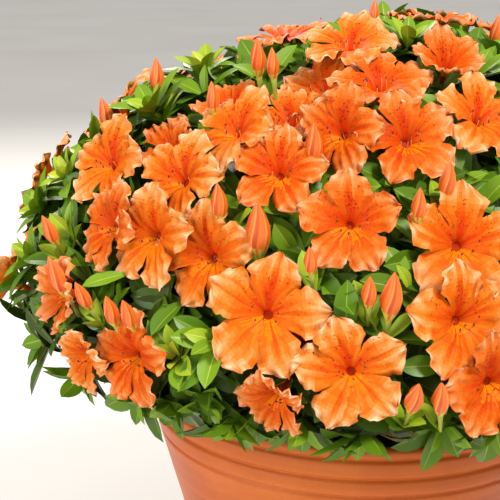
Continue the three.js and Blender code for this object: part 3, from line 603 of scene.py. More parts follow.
def make_blooms(draw, rng):
    """The shown blooms and the source's even spread, then finer ones in the wide gaps that are left."""
    blooms = [bloom_at(place_at(*row[:2]), *row[2:]) for row in FRONT_BLOOMS]
    for place in even_places(BLOOM_SPREAD, blooms[:SHOWN_IN_SOURCE], no_bloom_at):
        span = 66 + 14 * draw()
        bearing = place["bearing"] + 50 * (draw() - 0.5)
        rise = place["rise"] + BLOOM_LIFT + 24 * (draw() - 0.5)
        blooms.append(bloom_at(place, bearing, rise, span))
    for place in even_places(FINE_BLOOM_SPREAD, blooms, no_bloom_at):
        span = rng.uniform(56, 70)
        bearing = place["bearing"] + rng.uniform(-30, 30)
        rise = place["rise"] + BLOOM_LIFT + rng.uniform(-14, 14)
        opened = float(rng.choice([0.5, 0.85, 1.0], p=[0.2, 0.3, 0.5]))
        blooms.append(bloom_at(place, bearing, rise, span, opened))
    return blooms


# Blossom

# The share of blooms in the warmer tone
WARM_SHARE = 0.3
# Petal colours: steps from the deep middle to the pale margins and the painted highlights on the ruffles'
# crests, then those with a place of their own
PETAL_SHARES = [0, 0.35, 0.65, 1]
PETAL_RANGES = {
    "bright": [(202, 60, 2), (213, 102, 14), (222, 142, 78), (236, 192, 154)],
    "warm": [(192, 50, 2), (205, 88, 10), (218, 126, 66), (232, 178, 138)],
}
PETAL_STEPS = 11
PETAL_PLACES = {
    "throat": (172, 50, 8),
    "glow": (230, 132, 12),
    "glow_rim": (225, 114, 12),
    "blotch": (208, 58, 12),
    "speck": (122, 22, 8),
}
THROAT_SLOT, GLOW_SLOT, GLOW_RIM_SLOT, BLOTCH_SLOT, SPECK_SLOT = range(PETAL_STEPS, PETAL_STEPS + 5)
PETAL_SLOTS = PETAL_STEPS + len(PETAL_PLACES)

LENGTH_ROWS = 21
WIDTH_COLUMNS = 17
NOTCH_ROW = 8
NOTCH_SHARE = 0.55
THROAT_SHARE = 0.3
THROAT_SIDES = 10
# The funnel of an open bloom: how its petals lean out from its axis, in degrees, along their length
FUNNEL_PLACES = [0, 0.28, 0.48, 0.72, 1]
FUNNEL_ANGLES = [3, 5, 54, 78, 98]
TUBE_RADIUS = 0.02
# A lobe's half width along its free part, as a share of the bloom's reach
LOBE_PLACES = [0, 0.12, 0.28, 0.45, 0.62, 0.78, 0.9, 0.97, 1]
LOBE_WIDTHS = [0.24, 0.29, 0.352, 0.392, 0.376, 0.298, 0.196, 0.112, 0.035]
# Where the ruffles of a lobe spread from, and its half length and half width
RUFFLE_CENTRE = 0.42
RUFFLE_REACH = (0.35, 0.38)
RUFFLES = 7
RUFFLE_LIFT = 1.9
FINE_RUFFLES = 15
FINE_RUFFLE_LIFT = 0.5
RIB_DEPTH = 1.3
# Upper petals: how strong the blotch is and where it leans, how many specks and where they lean
UPPER_PETALS = {0: (1.0, 0.0, 30, 0.0), 1: (0.5, -0.6, 12, -0.55), 4: (0.5, 0.6, 12, 0.55)}
SPECK_LIFT = 0.35
SPECK_FACES = np.array([[0, 1, 2, -1], [0, 2, 3, -1], [0, 3, 4, -1]])
STAMENS = 5
STAMEN_START = 8.5
# Colour and roughness of the stamens and the buds
SMALL_DRESSES = {
    "filament": ((244, 128, 66), 0.5),
    "anther": ((104, 48, 24), 0.6),
    "stigma": ((206, 52, 34), 0.5),
    # The buds' palest colour is a painted highlight, and their red is the petals' red edges with painted
    # shade under each lap.
    "bud_painted_highlight": ((238, 138, 62), 0.42),
    "bud_orange": ((226, 108, 30), 0.42),
    "bud_red_edge_and_painted_shade": ((214, 84, 26), 0.42),
    "bud_base": ((196, 188, 66), 0.5),
    "bud_stalk": ((158, 166, 58), 0.55),
}
FILAMENT, ANTHER, STIGMA, BUD_PAINTED_HIGHLIGHT, ORANGE, RED_EDGE_AND_PAINTED_SHADE, GREEN_BASE, STALK = range(len(SMALL_DRESSES))


def petal_materials():
    colours = {}
    for tone, stops in PETAL_RANGES.items():
        steps = np.linspace(0, 1, PETAL_STEPS)
        channels = [np.interp(steps, PETAL_SHARES, channel) for channel in zip(*stops)]
        colours |= {f"petal_{tone}_{i}": colour for i, colour in enumerate(zip(*channels))}
        colours |= {f"petal_{tone}_{name}": colour for name, colour in PETAL_PLACES.items()}
    return [plain(name, colour, 0.5, Specular_IOR_Level=0.06) for name, colour in colours.items()]


def bloom_profile(opened):
    """Radius and height along a petal's middle, each as a share of the open bloom's reach and depth."""
    step = 0.01
    shares = np.linspace(0, 1, 101)
    wide = np.interp(shares, FUNNEL_PLACES, np.radians(FUNNEL_ANGLES))
    folded = np.radians(FUNNEL_ANGLES[0])
    angle = folded + (wide - folded) * (0.25 + 0.75 * opened)
    radius = TUBE_RADIUS + np.cumsum(np.sin(angle)) * step
    height = np.cumsum(np.cos(angle)) * step
    open_radius = TUBE_RADIUS + np.cumsum(np.sin(wide)) * step
    open_height = np.cumsum(np.cos(wide)) * step
    return radius / open_radius[-1], height / open_height.max(), shares


def along_petal(bloom, place, reach):
    """Radius and height of a petal's middle at some places along it."""
    radius, height, shares = bloom["profile"]
    return np.interp(place, shares, radius) * reach, np.interp(place, shares, height) * BLOOM_DEPTH


def lobe_share(s):
    """How far out a place lies on a petal's free lobe: 0 at the notch, 1 at the tip."""
    return np.clip((s - NOTCH_SHARE) / (1 - NOTCH_SHARE), 0, 1)


def petal_ruffles(s, t, lobe, share, phase):
    """How far the ruffles, which stand round the lobe's middle like spokes, and the rib lift a petal."""
    out = 0.6 * (lobe - RUFFLE_CENTRE)
    spoke = np.arctan2(share * t, out)
    rim = np.hypot(out / RUFFLE_REACH[0], share * t / RUFFLE_REACH[1]) * np.clip(3 * lobe, 0, 1)
    rim = np.clip(rim, 0, 1.1)
    big = np.sin(RUFFLES * spoke + phase[0] + 0.8 * np.sin(2 * spoke + phase[1]))
    small = np.sin(FINE_RUFFLES * spoke + phase[2] + 1.4 * np.sin(3 * spoke + phase[3]))
    lift = RUFFLE_LIFT * rim**1.8 * big + FINE_RUFFLE_LIFT * rim**1.3 * small
    lift += 0.8 * np.clip(lobe * 3, 0, 1) * np.sin(12 * t + 4 * s + phase[4])
    return lift - RIB_DEPTH * np.exp(-((t / 0.12) ** 2)) * np.clip(lobe * 4, 0, 1) * (1 - lobe)


def bloom_grid(bloom, petal, rng):
    """The corners of one petal in the bloom's own frame, and how far each ruffle lifts it."""
    reach = bloom["span"] / 2 * rng.uniform(0.96, 1.04)
    even = np.linspace(0, 1, LENGTH_ROWS - NOTCH_ROW + 1)[1:]
    free = 0.45 * even + 0.55 * np.sin(math.pi / 2 * even)
    tube_rows = np.linspace(0, NOTCH_SHARE, NOTCH_ROW)
    rows = np.concatenate([tube_rows, NOTCH_SHARE + (1 - NOTCH_SHARE) * free])
    s, t = np.meshgrid(rows, np.linspace(-1, 1, WIDTH_COLUMNS), indexing="ij")
    r, z = along_petal(bloom, s, reach)
    lobe = lobe_share(s)
    side, edge = np.sign(t), np.abs(t)
    phase = rng.uniform(0, TURN, 10)
    share = np.interp(lobe, LOBE_PLACES, LOBE_WIDTHS)
    lift = petal_ruffles(s, t, lobe, share, phase)
    width = share * reach * rng.uniform(0.95, 1.06)
    crinkle = 0.06 * np.sin(14 * lobe + 2 * side + phase[5])
    width = width * (1 + crinkle + 0.05 * np.sin(25 * lobe + side + phase[6]))
    ease = np.clip(lobe / 0.28, 0, 1)
    ease = ease * ease * (3 - 2 * ease)
    blunt = -0.06 * reach * edge**1.6 * lobe**3 + 0.02 * reach * np.sin(8 * t + phase[7]) * lobe**2
    sway = math.radians(rng.uniform(-5, 5)) * ease
    half = math.pi / PETALS
    x = r * np.cos(half * t) * (1 - ease) + (r + blunt) * ease
    y = r * np.sin(half * t) * (1 - ease) + (width * t + r * np.sin(sway)) * ease
    cup = rng.uniform(-3.5, 2.5) * lobe * edge**2 + rng.uniform(-5.0, 1.0) * lobe**2
    cup += 1.5 * edge * lobe * (1 - lobe)
    z = z + lift + cup + 1.9 * t * ease * (1 - 0.5 * lobe)
    turn = TURN * petal / PETALS
    across = x * math.cos(turn) - y * math.sin(turn)
    return np.stack([across, x * math.sin(turn) + y * math.cos(turn), z], axis=-1), s, t, lift


def streaks(strength, shape, rng):
    """Uneven colour that runs in veins along a petal, with a little from face to face."""
    noise = rng.uniform(-strength, strength, shape)
    return 1.4 * noise[:1] + 0.25 * noise


def petal_slots(s, t, lift, petal, rng):
    """The slot of each face, from how far out it lies, its place across and its ruffle, whose crests get
    painted highlight and whose troughs and midrib groove get painted shade.
    """
    s, t, lift = [(g[1:, 1:] + g[:-1, 1:] + g[1:, :-1] + g[:-1, :-1]) / 4 for g in (s, t, lift)]
    edge = np.abs(t)
    lobe = lobe_share(s)
    outer = np.clip((lobe - 0.1) / 0.7, 0, 1)
    # The 0.13 * lift term is painted light: paler on the ruffles' crests as highlight, darker in their
    # troughs and the midrib's groove as shade.
    pale = 0.26 + 0.42 * outer + 0.12 * edge**2 * np.sqrt(lobe) + 0.13 * lift
    pale += streaks(0.04, s.shape, rng)
    pale += rng.uniform(-0.06, 0.06)
    pale -= 0.16 * np.exp(-((t / 0.1) ** 2)) * (1 - lobe)
    pale -= 0.06 * np.exp(-(((edge - 0.45) / 0.08) ** 2)) * (1 - lobe)
    upper = petal in UPPER_PETALS
    if upper:
        strength, lean = UPPER_PETALS[petal][:2]
        across = (t - lean) / (0.5 * strength + 0.2)
        patch = np.clip(1.25 - (s - 0.3) / 0.42 - across**2, 0, 1)
        pale -= 0.3 * patch * strength
    palest = PETAL_STEPS - 1
    slots = np.clip(np.round(pale * palest), 0, palest).astype(int)
    if upper:
        slots[(patch > 0.62) & (s > THROAT_SHARE)] = BLOTCH_SLOT
    else:
        fade = s + 0.1 * edge + streaks(0.05, s.shape, rng)
        slots[(fade < 0.6) & (edge > 0.1)] = GLOW_RIM_SLOT
        slots[(fade < 0.48) & (edge > 0.1)] = GLOW_SLOT
    slots[s < 0.35] = 1
    slots[s < THROAT_SHARE] = THROAT_SLOT
    return slots.ravel()


PETAL_FACES = grid_faces(LENGTH_ROWS, WIDTH_COLUMNS)


def bloom_basis(bloom, rng):
    """The bloom's own axes: its upper petal points up, give or take a little."""
    facing = bloom["facing"]
    upright = square_to(facing, UP if abs(facing[2]) < 0.96 else -heading(bloom["bearing"], 0))
    side = np.cross(facing, upright)
    roll = math.radians(rng.uniform(-16, 16))
    first = upright * math.cos(roll) + side * math.sin(roll)
    return np.stack([first, np.cross(facing, first), facing])


def add_bloom(pile, bloom, tone, rng):
    bloom["profile"] = bloom_profile(bloom["open"])
    bloom["basis"] = bloom_basis(bloom, rng)

    def put(corners, faces, slots):
        placed_corners = corners.reshape(-1, 3) @ bloom["basis"] + bloom["foot"]
        pile.add(placed_corners, faces, slots + tone * PETAL_SLOTS)

    add_throat(put, bloom)
    for petal in range(PETALS):
        corners, s, t, lift = bloom_grid(bloom, petal, rng)
        put(corners, PETAL_FACES, petal_slots(s, t, lift, petal, rng))
        if petal in UPPER_PETALS:
            add_specks(put, corners, petal, rng)


def add_throat(put, bloom):
    """The dark point at the bottom of the funnel, where the tube closes."""
    radius, height = along_petal(bloom, THROAT_SHARE, bloom["span"] / 2)
    ring = level_ring(radius, height, THROAT_SIDES)
    faces = [[i, (i + 1) % THROAT_SIDES, THROAT_SIDES, -1] for i in range(THROAT_SIDES)]
    put(np.concatenate([ring, [[0, 0, height - 0.5]]]), np.array(faces), THROAT_SLOT)


def add_specks(put, corners, petal, rng):
    """Small dark specks on the inner part of the upper petals, a hair above them."""
    count, lean = UPPER_PETALS[petal][2:]
    last = WIDTH_COLUMNS - 1
    angles = round_angles(5)[:, None]
    for _ in range(count):
        row = int(rng.integers(NOTCH_ROW - 2, NOTCH_ROW + 5))
        column = round(last * (0.5 + 0.5 * lean + rng.normal(0, 0.17)))
        column = min(max(column, 1), last - 1)
        corner = corners[row, column]
        along = corners[row + 1, column] - corner
        over = corners[row, column + 1] - corner
        spot = corner + rng.uniform(0, 1) * along + rng.uniform(0, 1) * over
        along, over = unit(along), unit(over)
        normal = unit(np.cross(along, over))
        spot = spot + SPECK_LIFT * (normal if normal[2] > 0 else -normal)
        long, wide = rng.uniform(0.32, 0.55), rng.uniform(0.22, 0.36)
        ring = spot + long * np.cos(angles) * along + wide * np.sin(angles) * over
        put(ring, SPECK_FACES, SPECK_SLOT)


def add_stamens(pile, bloom, rng):
    """Five stamens that curve down and up again, with dark anthers, and a longer style."""
    steps = np.linspace(0, 1, 7)[:, None]
    for i in range(STAMENS + 1):
        style = i == STAMENS
        turn = rng.uniform(-14, 14) if style else -76 + 38 * i + rng.uniform(-10, 10)
        angle = math.pi + math.radians(turn)
        reach = rng.uniform(21, 25) if style else rng.uniform(14, 20)
        out = np.array([math.cos(angle), math.sin(angle), 0.0])
        sag = out * rng.uniform(6, 12) * np.sin(steps * 2.0) ** 1.3
        rise = np.array([4.5, 0, 0]) * steps**3 + np.array([0, 0, reach]) * steps
        points = (out + [0, 0, STAMEN_START] + sag + rise) @ bloom["basis"] + bloom["foot"]
        tube(pile, points, np.linspace(0.4, 0.25, 7), 3, FILAMENT)
        tip = points[-1]
        way = unit(tip - points[-2])
        size = 0.5 if style else 0.6
        grain = [tip - way * 0.6, tip + way * 0.4, tip + way * 1.4]
        tube(pile, grain, [size * 0.7, size, size * 0.6], 4, STIGMA if style else ANTHER)


# Buds

BUD_TIP = 1.02
BUD_ROWS = 12
BUD_COLUMNS = 30
LAP_COLUMNS = 6
BUD_TWIST = 1.1
BUD_LEAN = 1.6
BUD_STALK = 14
BUD_GIRTH = 0.165
BUD_RAISE = 0.3
# Places along a bud and its width there
BUD_SHAPE = [0, 0.08, 0.2, 0.38, 0.55, 0.75, 0.9, 1], [0.22, 0.42, 0.72, 0.98, 1.0, 0.72, 0.36, 0.04]


def add_bud(pile, base, facing, length):
    """A pointed bud of rolled petals, each lapping over the next, on a green base, with a painted highlight
    by each lapping edge and painted shade in the step below it.
    """
    side = square_to(facing, UP)
    basis = np.stack([side, np.cross(facing, side), facing])
    s, a = np.meshgrid(np.linspace(0, 1, BUD_ROWS), round_angles(BUD_COLUMNS), indexing="ij")
    lap = np.arange(BUD_COLUMNS) % LAP_COLUMNS / (LAP_COLUMNS - 1)
    radius = BUD_GIRTH * length * np.interp(s, *BUD_SHAPE)
    radius = radius * (1 + (0.3 * lap**0.8 - 0.16) * np.sin(math.pi * s))
    a = a + BUD_TWIST * s
    corners = np.stack([radius * np.cos(a) + BUD_LEAN * s**2, radius * np.sin(a), s * length], axis=-1)
    faces = grid_faces(BUD_ROWS, BUD_COLUMNS, closed=True)
    row = faces[:, 0] // BUD_COLUMNS
    column = faces[:, 0] % BUD_COLUMNS % LAP_COLUMNS
    # Across each petal: red on its edge and, as painted shade, in the step under the lap, orange in the
    # middle, and a painted highlight beside the raised edge.
    slots = np.array([RED_EDGE_AND_PAINTED_SHADE, ORANGE, ORANGE, ORANGE, BUD_PAINTED_HIGHLIGHT, RED_EDGE_AND_PAINTED_SHADE])[column]
    slots = np.where((row < 3) & (column > 1) | (row < 1), GREEN_BASE, slots)
    pile.add(corners.reshape(-1, 3) @ basis + base, faces, slots)
    stalk = [base - facing * BUD_STALK, base - facing * 4, base + facing * 3]
    tube(pile, stalk, [1.3, 1.5, 2.2], 6, STALK)


# Leaves

LEAF_ROWS = 8
LEAF_ACROSS = np.array([-1.0, -0.5, -0.05, 0.05, 0.5, 1.0])
LEAF_FACES = grid_faces(LEAF_ROWS, len(LEAF_ACROSS))
LEAF_RIB = np.abs(np.tile([-0.75, -0.275, 0.0, 0.275, 0.75], LEAF_ROWS - 1)) < 0.1
PLAIN_ROWS = 6
PLAIN_ACROSS = np.array([-1.0, 0.0, 1.0])
PLAIN_FACES = grid_faces(PLAIN_ROWS, len(PLAIN_ACROSS))
# Leaf colours, each with its rib's colour beside it
LEAF_DRESSES = {
    "deep": ((56, 74, 10), (88, 104, 30)),
    "dark": ((68, 98, 16), (114, 136, 42)),
    "green": ((86, 122, 20), (138, 160, 50)),
    "fresh": ((114, 150, 28), (166, 182, 60)),
    "young": ((152, 176, 38), (192, 202, 74)),
    "tip": ((176, 186, 46), (206, 208, 84)),
}
DRESS_NAMES = list(LEAF_DRESSES)
# Blooms and buds farther off than this aren't looked at when a leaf is placed
LEAF_LOOK = 120
# The face of an open bloom, as shares of its reach and its depth, which leaves stay under
FACE = [0, 0.12, 0.33, 0.6, 1.0], [0.15, 0.45, 0.72, 0.92, 1.0]
LEAF_TURN = 2.4


def leaf_corners(rows, across, width, arch, fold, wave, rng):
    """The corners of a leaf one unit long, from its stalk along +Z, with its upper side to +X."""
    s, t = np.meshgrid(np.linspace(0, 1, rows), across, indexing="ij")
    edge = np.abs(t)
    swell = np.sin(math.pi * s)
    stalk = 0.035 * (1 - s) ** 4 + 0.004
    half = width / 2 * np.sin(math.pi * s**1.12) ** 0.8 + stalk
    quilt = 0.0065 * edge * (1 - edge * 0.6) * swell
    quilt[1::2] *= -1
    height = fold * half * edge + quilt + wave * edge**2 * np.sin(9 * s + rng.uniform(0, 6)) * swell
    height = height - arch * s**2 + 0.25 * arch * s
    along = (s + 0.055 * edge * swell) * (1 - 0.18 * arch)
    return np.stack([height, half * t, along], axis=-1).reshape(-1, 3)


def leaf_patterns(rng):
    """A few leaf forms in a detailed and a plain mesh, to be dealt out."""
    forms = []
    for _ in range(14):
        width, arch = rng.uniform(0.33, 0.45), rng.uniform(0.02, 0.3)
        fold, wave = rng.uniform(0.12, 0.42), rng.uniform(0.006, 0.02)
        fine = leaf_corners(LEAF_ROWS, LEAF_ACROSS, width, arch, fold, wave, rng)
        coarse = leaf_corners(PLAIN_ROWS, PLAIN_ACROSS, width, arch, fold, 0, rng)
        forms.append((fine, coarse))
    return forms


def columns_of(rows, *keys):
    return [np.array([row[key] for row in rows]) for key in keys]


class Leaves:
    """Deals out leaves, each kept inside the crown, clear of the planter, the buds and the blooms' faces."""

    def __init__(self, blooms, buds, rng):
        self.forms = leaf_patterns(rng)
        self.rng = rng
        self.piles = {}
        self.count = 0
        self.feet, self.bases, self.spans = columns_of(blooms, "foot", "basis", "span")
        self.bud_feet, self.bud_ways, self.bud_lengths = columns_of(buds, "foot", "facing", "length")

    def fits(self, points, lowest, slack):
        out = (points - CROWN_CENTRE) / CROWN_REACH
        length = np.linalg.norm(out, axis=1)
        radius, height = np.hypot(points[:, 0], points[:, 1]), points[:, 2]
        slope = SKIRT_SLOPE if lowest > POT_HEIGHT else 0
        past_crown = length > slack * crown_share(out / length[:, None])
        past_skirt = height < lowest + slope * np.maximum(radius - RIM_CLEAR_RADIUS, 0)
        past_rim = (radius < RIM_CLEAR_RADIUS) & (height < POT_HEIGHT + 2)
        if (past_crown | past_skirt | past_rim).any():
            return False
        return not self.crosses_bloom(points) and not self.crosses_bud(points)

    def crosses_bud(self, points):
        near = np.linalg.norm(self.bud_feet - points[0], axis=1) < LEAF_LOOK
        ways = self.bud_ways[near]
        length = self.bud_lengths[near][:, None]
        offset = points[None] - self.bud_feet[near][:, None]
        along = np.einsum("bpi,bi->bp", offset, ways)
        off = np.linalg.norm(offset - along[..., None] * ways[:, None], axis=2)
        inside = (off < BUD_GIRTH * length + 1) & (along > BUD_STALK - 2) & (along < BUD_STALK + length)
        return inside.any()

    def crosses_bloom(self, points):
        near = np.linalg.norm(self.feet - points[0], axis=1) < LEAF_LOOK
        local = np.einsum("bij,bpj->bpi", self.bases[near], points[None] - self.feet[near][:, None])
        share = np.hypot(local[..., 0], local[..., 1]) / (self.spans[near][:, None] / 2)
        height = local[..., 2]
        surface = BLOOM_DEPTH * np.interp(share, *FACE)
        return ((share < 0.93) & (height > surface - 2.5) & (height < BLOOM_DEPTH + 16)).any()

    def add(self, root, axis, around, tilt, length, dress, fine, lowest, slack):
        side = square_to(axis, UP)
        spoke = side * math.cos(around) + np.cross(axis, side) * math.sin(around)
        direction = unit(spoke * math.sin(tilt) + axis * math.cos(tilt))
        upper = square_to(direction, axis + 0.001 * UP)
        basis = np.stack([upper, np.cross(direction, upper), direction])
        detailed, simple = self.forms[int(self.rng.integers(len(self.forms)))]
        corners = (detailed if fine else simple) * length @ basis + root
        if not self.fits(corners, lowest, slack):
            return False
        quarter = ("front" if root[1] < 0 else "back") + ("_left" if root[0] < 0 else "_right")
        pile = self.piles.setdefault(f"leaves_{'fine' if fine else 'plain'}_{quarter}", Pile())
        slot = 2 * DRESS_NAMES.index(dress)
        if fine:
            pile.add(corners, LEAF_FACES, np.where(LEAF_RIB, slot + 1, slot))
        else:
            pile.add(corners, PLAIN_FACES, slot)
        self.count += 1
        return True

    def tuft(self, root, axis, count, spread, length, dresses, fine=True, **room):
        """Leaves round a root, the inner ones smaller, paler and more upright. Says if any found room."""
        room = {"lowest": SKIRT_LOWEST, "slack": CROWN_SLACK} | room
        before = self.count
        start = self.rng.uniform(0, TURN)
        for i in range(count):
            rank = i / max(count - 1, 1)
            around = start + LEAF_TURN * i
            tilt = math.radians(spread * (1.15 - 0.75 * rank) * self.rng.uniform(0.85, 1.15))
            size = length * (1.0 - 0.42 * rank) * self.rng.uniform(0.85, 1.12)
            dress = dresses[min(int(rank * len(dresses)), len(dresses) - 1)]
            for nudge in (0.0, 0.45, -0.45):
                if self.add(root, axis, around + nudge, tilt, size, dress, fine, **room):
                    break
        return self.count > before


# Twigs


def share_out(direction, spin, start, ends):
    """Shares the ends out among three arms that stand round a direction, never all to one."""
    side = square_to(direction, UP)
    other = np.cross(direction, side)
    arms = []
    for i in range(3):
        angle = spin + TURN * i / 3
        arms.append(unit(0.5 * direction + side * math.cos(angle) + other * math.sin(angle)))
    groups = [[], [], []]
    for end in ends:
        way = unit(end - start)
        groups[int(np.argmax([np.dot(way, arm) for arm in arms]))].append(end)
    if any(len(group) == len(ends) for group in groups):
        ordered = sorted(ends, key=lambda end: float(np.dot(end - start, side)))
        half = len(ends) // 2
        groups = [ordered[:half], ordered[half:]]
    return [group for group in groups if group]


def grow_twigs(pile, start, ends, radius, rng):
    """Twigs that fork again and again until each end carries one bloom, bud or tuft of leaves."""
    thick = min(TWIG_RADIUS + TWIG_GROWTH * math.sqrt(len(ends)), radius)
    if len(ends) == 1:
        tip, bend = ends[0], 0.05
    else:
        tip, bend = start + (np.mean(ends, axis=0) - start) * FORK_SHARE, 0.06
    bow = rng.normal(0, 1, 3) * np.linalg.norm(tip - start) * bend
    points = [start, (start + tip) / 2 + bow, tip]
    if len(ends) == 1:
        tube(pile, points, [radius * 0.85, thick, thick * 0.8], 5, int(radius < 1.7))
        return
    tube(pile, points, [radius, (radius + thick) / 2, thick], 6, int(thick < 1.4))
    for group in share_out(unit(tip - start), rng.uniform(0, 2), tip, ends):
        grow_twigs(pile, tip, group, thick, rng)


# Putting the plant together


def place_feet(blooms):
    for i, bloom in enumerate(blooms):
        behind = SHOWN_IN_SOURCE <= i < len(FRONT_BLOOMS)
        rim = inner_point(bloom, SUNK_BLOOMS.get(i, BLOOM_RIM_BEHIND if behind else BLOOM_RIM))
        bloom["foot"] = rim - bloom["facing"] * BLOOM_BACK * BLOOM_DEPTH


def make_blossom(blooms, rng):
    piles = {}
    stamens = Pile()
    for bloom in blooms:
        side = "front" if bloom["foot"][1] < 0 else "back"
        pile = piles.setdefault(side, Pile())
        add_bloom(pile, bloom, int(rng.uniform() < WARM_SHARE), rng)
        if bloom["open"] > 0.6:
            add_stamens(stamens, bloom, rng)
    materials = petal_materials()
    for side, pile in piles.items():
        piece = pile.piece(f"blossom_{side}", materials)
    return stamens


def make_buds(pile, masses, rng):
    buds = [place_at(bearing, rise) | {"length": length} for bearing, rise, length in FRONT_BUDS]
    for place in even_places(BUD_SPREAD, buds, in_window):
        buds.append(place | {"length": rng.uniform(21, 29)})
    for bud in buds:
        facing = unit(heading(bud["bearing"], bud["rise"] * 0.35 + 56) + rng.normal(0, 0.06, 3))
        raised = BUD_RAISE * math.cos(math.radians(bud["rise"]))
        base = inner_point(bud, BUD_TIP) - facing * bud["length"] * (1 - raised)
        add_bud(pile, base, facing, bud["length"])
        bud["facing"] = facing
        bud["foot"] = base - facing * BUD_STALK
        carry(masses, bud["point"], bud["foot"])
    return buds


def make_shoots(blooms):
    shown = []
    for bearing, rise, pointing, young in FRONT_SHOOTS:
        shown.append(place_at(bearing, rise) | {"facing": heading(bearing, pointing), "young": young})
    spread = even_places(SHOOT_SPREAD, blooms + shown, lambda b, r: r > 0 and in_window(b, r))
    for i, place in enumerate(spread):
        hangs = place["rise"] <= 2 and i % 3 == 0
        pointing = place["rise"] + (-45 if hangs else 18)
        place["facing"] = heading(place["bearing"], min(pointing, STEEPEST))
        place["young"] = i % 3
        if hangs:
            place["rise"] = max(place["rise"], HANGING_LOWEST)
    return shown + spread


# The steepest way that a tuft points
STEEPEST = 88
# Tufts: how many leaves, how far they spread in degrees, their length
SHOOT_TUFT = (12, 64)
BLOOM_TUFT = (7, 92, 49)
BUD_TUFT = (7, 66, 40)
TUFT_DRESSES = [
    ["dark", "green", "green", "fresh"],
    ["green", "fresh", "fresh", "young"],
    ["fresh", "young", "young", "tip"],
]
# Layers of inner leaves: share of the dome, spread, leaves in a tuft, length, colours, whether fine
LEAF_LAYERS = [
    (0.85, (760, -14, 10, 22), 6, 44, ["dark", "green"], True),
    (0.75, (620, -12, 200, 24), 7, 44, ["deep", "dark"], False),
    (0.62, (340, -8, 90, 32), 7, 46, ["deep", "deep"], False),
]


def shifted(dresses, change):
    """The same dresses a step paler or darker."""
    last = len(DRESS_NAMES) - 1
    return [DRESS_NAMES[min(max(DRESS_NAMES.index(name) + change, 0), last)] for name in dresses]


def add_shoots(leaves, masses, blooms):
    """The leafy shoots: the young ones stand out of the crown, and those that point down hang."""
    for shoot in make_shoots(blooms):
        share, slack = 0.86, CROWN_SLACK
        if shoot["young"] and shoot["rise"] > 0:
            share, slack = 0.93, SHOOT_SLACK
        lowest, dresses = SKIRT_LOWEST, TUFT_DRESSES[shoot["young"]]
        if shoot["facing"][2] < 0:
            lowest, dresses = SKIRT_HANG, TUFT_DRESSES[0]
        foot = inner_point(shoot, share)
        length = 44 - 6 * shoot["young"]
        if leaves.tuft(foot, shoot["facing"], *SHOOT_TUFT, length, dresses, lowest=lowest, slack=slack):
            carry(masses, shoot["point"], foot)


def add_layers(leaves, masses, rng):
    """The inner leaves, layer under layer, which fill the crown behind the shoots."""
    for share, spread, count, length, dresses, fine in LEAF_LAYERS:
        for place in even_places(spread):
            rise = place["rise"]
            foot = inner_point(place, share + rng.uniform(-0.05, 0.05))
            tip_rise = min(rise + rng.uniform(-20, 30), STEEPEST)
            if rise < 0:
                tip_rise = rng.uniform(-40, 5)
            facing = heading(place["bearing"] + rng.uniform(-25, 25), tip_rise)
            # Leaves low on the dome are a step darker, as painted shade under the crown; the fine layer's
            # high up are a step paler.
            change = -1 if rise < 8 else int(fine and rise > 24)
            if leaves.tuft(foot, facing, count, 72, length, shifted(dresses, change), fine):
                carry(masses, place["point"], foot)


def make_foliage(masses, blooms, buds, rng):
    leaves = Leaves(blooms, buds, rng)
    add_shoots(leaves, masses, blooms)
    for bloom in blooms:
        root = bloom["foot"] + bloom["facing"] * 1.5
        # The tufts of low blooms are a step darker, as painted shade under the crown.
        dresses = shifted(["dark", "dark", "green", "fresh"], -1 if bloom["rise"] < 10 else 0)
        leaves.tuft(root, bloom["facing"], *BLOOM_TUFT, dresses)
        carry(masses, bloom["point"], bloom["foot"])
    for bud in buds:
        leaves.tuft(bud["foot"], bud["facing"], *BUD_TUFT, ["green", "fresh", "young"])
    add_layers(leaves, masses, rng)
    materials = []
    for name, (blade, rib) in LEAF_DRESSES.items():
        materials.append(plain(f"leaf_{name}", blade, 0.36, Specular_IOR_Level=0.26))
        materials.append(plain(f"rib_{name}", rib, 0.42))
    for name, pile in leaves.piles.items():
        pile.piece(name, materials)


def make_twigs(masses, rng):
    pile = Pile()
    end_radius = STEM_RADIUS * 0.9
    for mass in masses:
        *_, before, end = mass["bough"]
        start = end + unit(end - before) * CLEAR
        stem = [start, (start + mass["hub"]) / 2, mass["hub"]]
        tube(pile, stem, [STEM_RADIUS, STEM_RADIUS, end_radius], 10, 0)
        grow_twigs(pile, mass["hub"], mass["ends"], end_radius, rng)
    brown, young = plain("twig_brown", (104, 78, 54), 0.75), plain("twig_young", (158, 160, 64), 0.6)
    twigs = pile.piece("twigs", [brown, young])
    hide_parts(*[mass["name"] for mass in masses])


# Stage, light and camera

FLOOR_HALF = 30


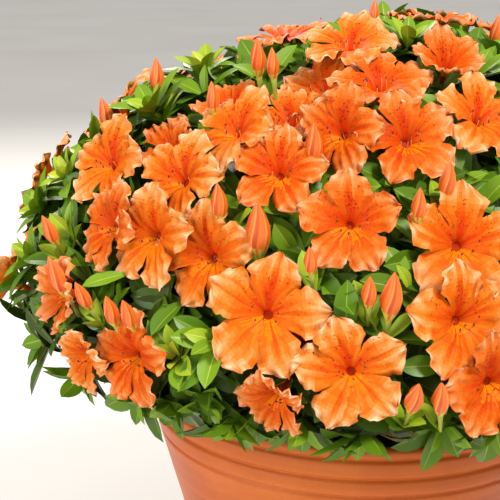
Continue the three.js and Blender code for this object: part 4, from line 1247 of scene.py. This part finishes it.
def make_stage():
    mesh = bpy.data.meshes.new("studio_floor")
    corners = [(x * FLOOR_HALF, y * FLOOR_HALF, 0) for x, y in ((-1, -1), (1, -1), (1, 1), (-1, 1))]
    mesh.from_pydata(corners, [], [(0, 1, 2, 3)])
    look = Look("pale_floor")
    cloud = look.noise(look.coordinates(), 1.5, 2)
    pale = look.ramp(cloud, (0.3, (226, 222, 216)), (0.7, (232, 229, 224)))
    mesh.materials.append(look.shade(Base_Color=pale, Roughness=0.85))
    floor = placed("studio_floor", mesh)


def area_light(name, place, height, size, power, colour):
    """A round lamp that faces the plant's middle at some height."""
    data = bpy.data.lights.new(name, "AREA")
    data.shape = "DISK"
    data.size = size
    data.energy = power
    data.color = colour
    back = unit(np.array(place) - [0, 0, height])
    side = unit(np.cross(UP, back))
    turn = Matrix(np.stack([side, np.cross(back, side), back]).T.tolist()).to_4x4()
    placed(name, data).matrix_world = Matrix.Translation(place) @ turn


def make_light():
    area_light("key", (0.75, -1.35, 2.2), 0.35, 0.6, 53, (1.0, 0.97, 0.92))
    area_light("fill", (-1.9, -1.3, 1.0), 0.3, 1.2, 26, (1.0, 0.98, 0.96))
    area_light("back", (-0.6, 1.8, 1.7), 0.35, 1.2, 38, (1.0, 0.98, 0.94))
    world = bpy.data.worlds.new("studio")
    world.use_nodes = True
    glow = world.node_tree.nodes["Background"].inputs
    glow["Color"].default_value = (1.0, 0.985, 0.965, 1.0)
    glow["Strength"].default_value = 0.64
    bpy.context.scene.world = world
    bpy.context.scene.view_settings.view_transform = "Standard"


def make_camera():
    data = bpy.data.cameras.new("camera")
    data.lens = CAMERA_LENS
    data.sensor_width = 36
    tilt = Matrix.Rotation(math.radians(90 - CAMERA_PITCH), 4, "X")
    roll = Matrix.Rotation(math.radians(CAMERA_ROLL), 4, "Z")
    camera = placed("camera", data)
    camera.matrix_world = Matrix.Translation(CAMERA_PLACE) @ tilt @ roll
    bpy.context.scene.camera = camera


def make_plant():
    rng = np.random.default_rng(7)
    draw = random_from(2026)
    masses = make_masses()
    make_limbs(masses, rng)
    blooms = make_blooms(draw, rng)
    place_feet(blooms)
    small = make_blossom(blooms, rng)
    buds = make_buds(small, masses, rng)
    dresses = [plain(name, *dress) for name, dress in SMALL_DRESSES.items()]
    small.piece("stamens_and_buds", dresses)
    make_foliage(masses, blooms, buds, rng)
    make_twigs(masses, rng)


make_camera()
make_planter()
make_soil(np.random.default_rng(3))
make_plant()
make_stage()
make_light()
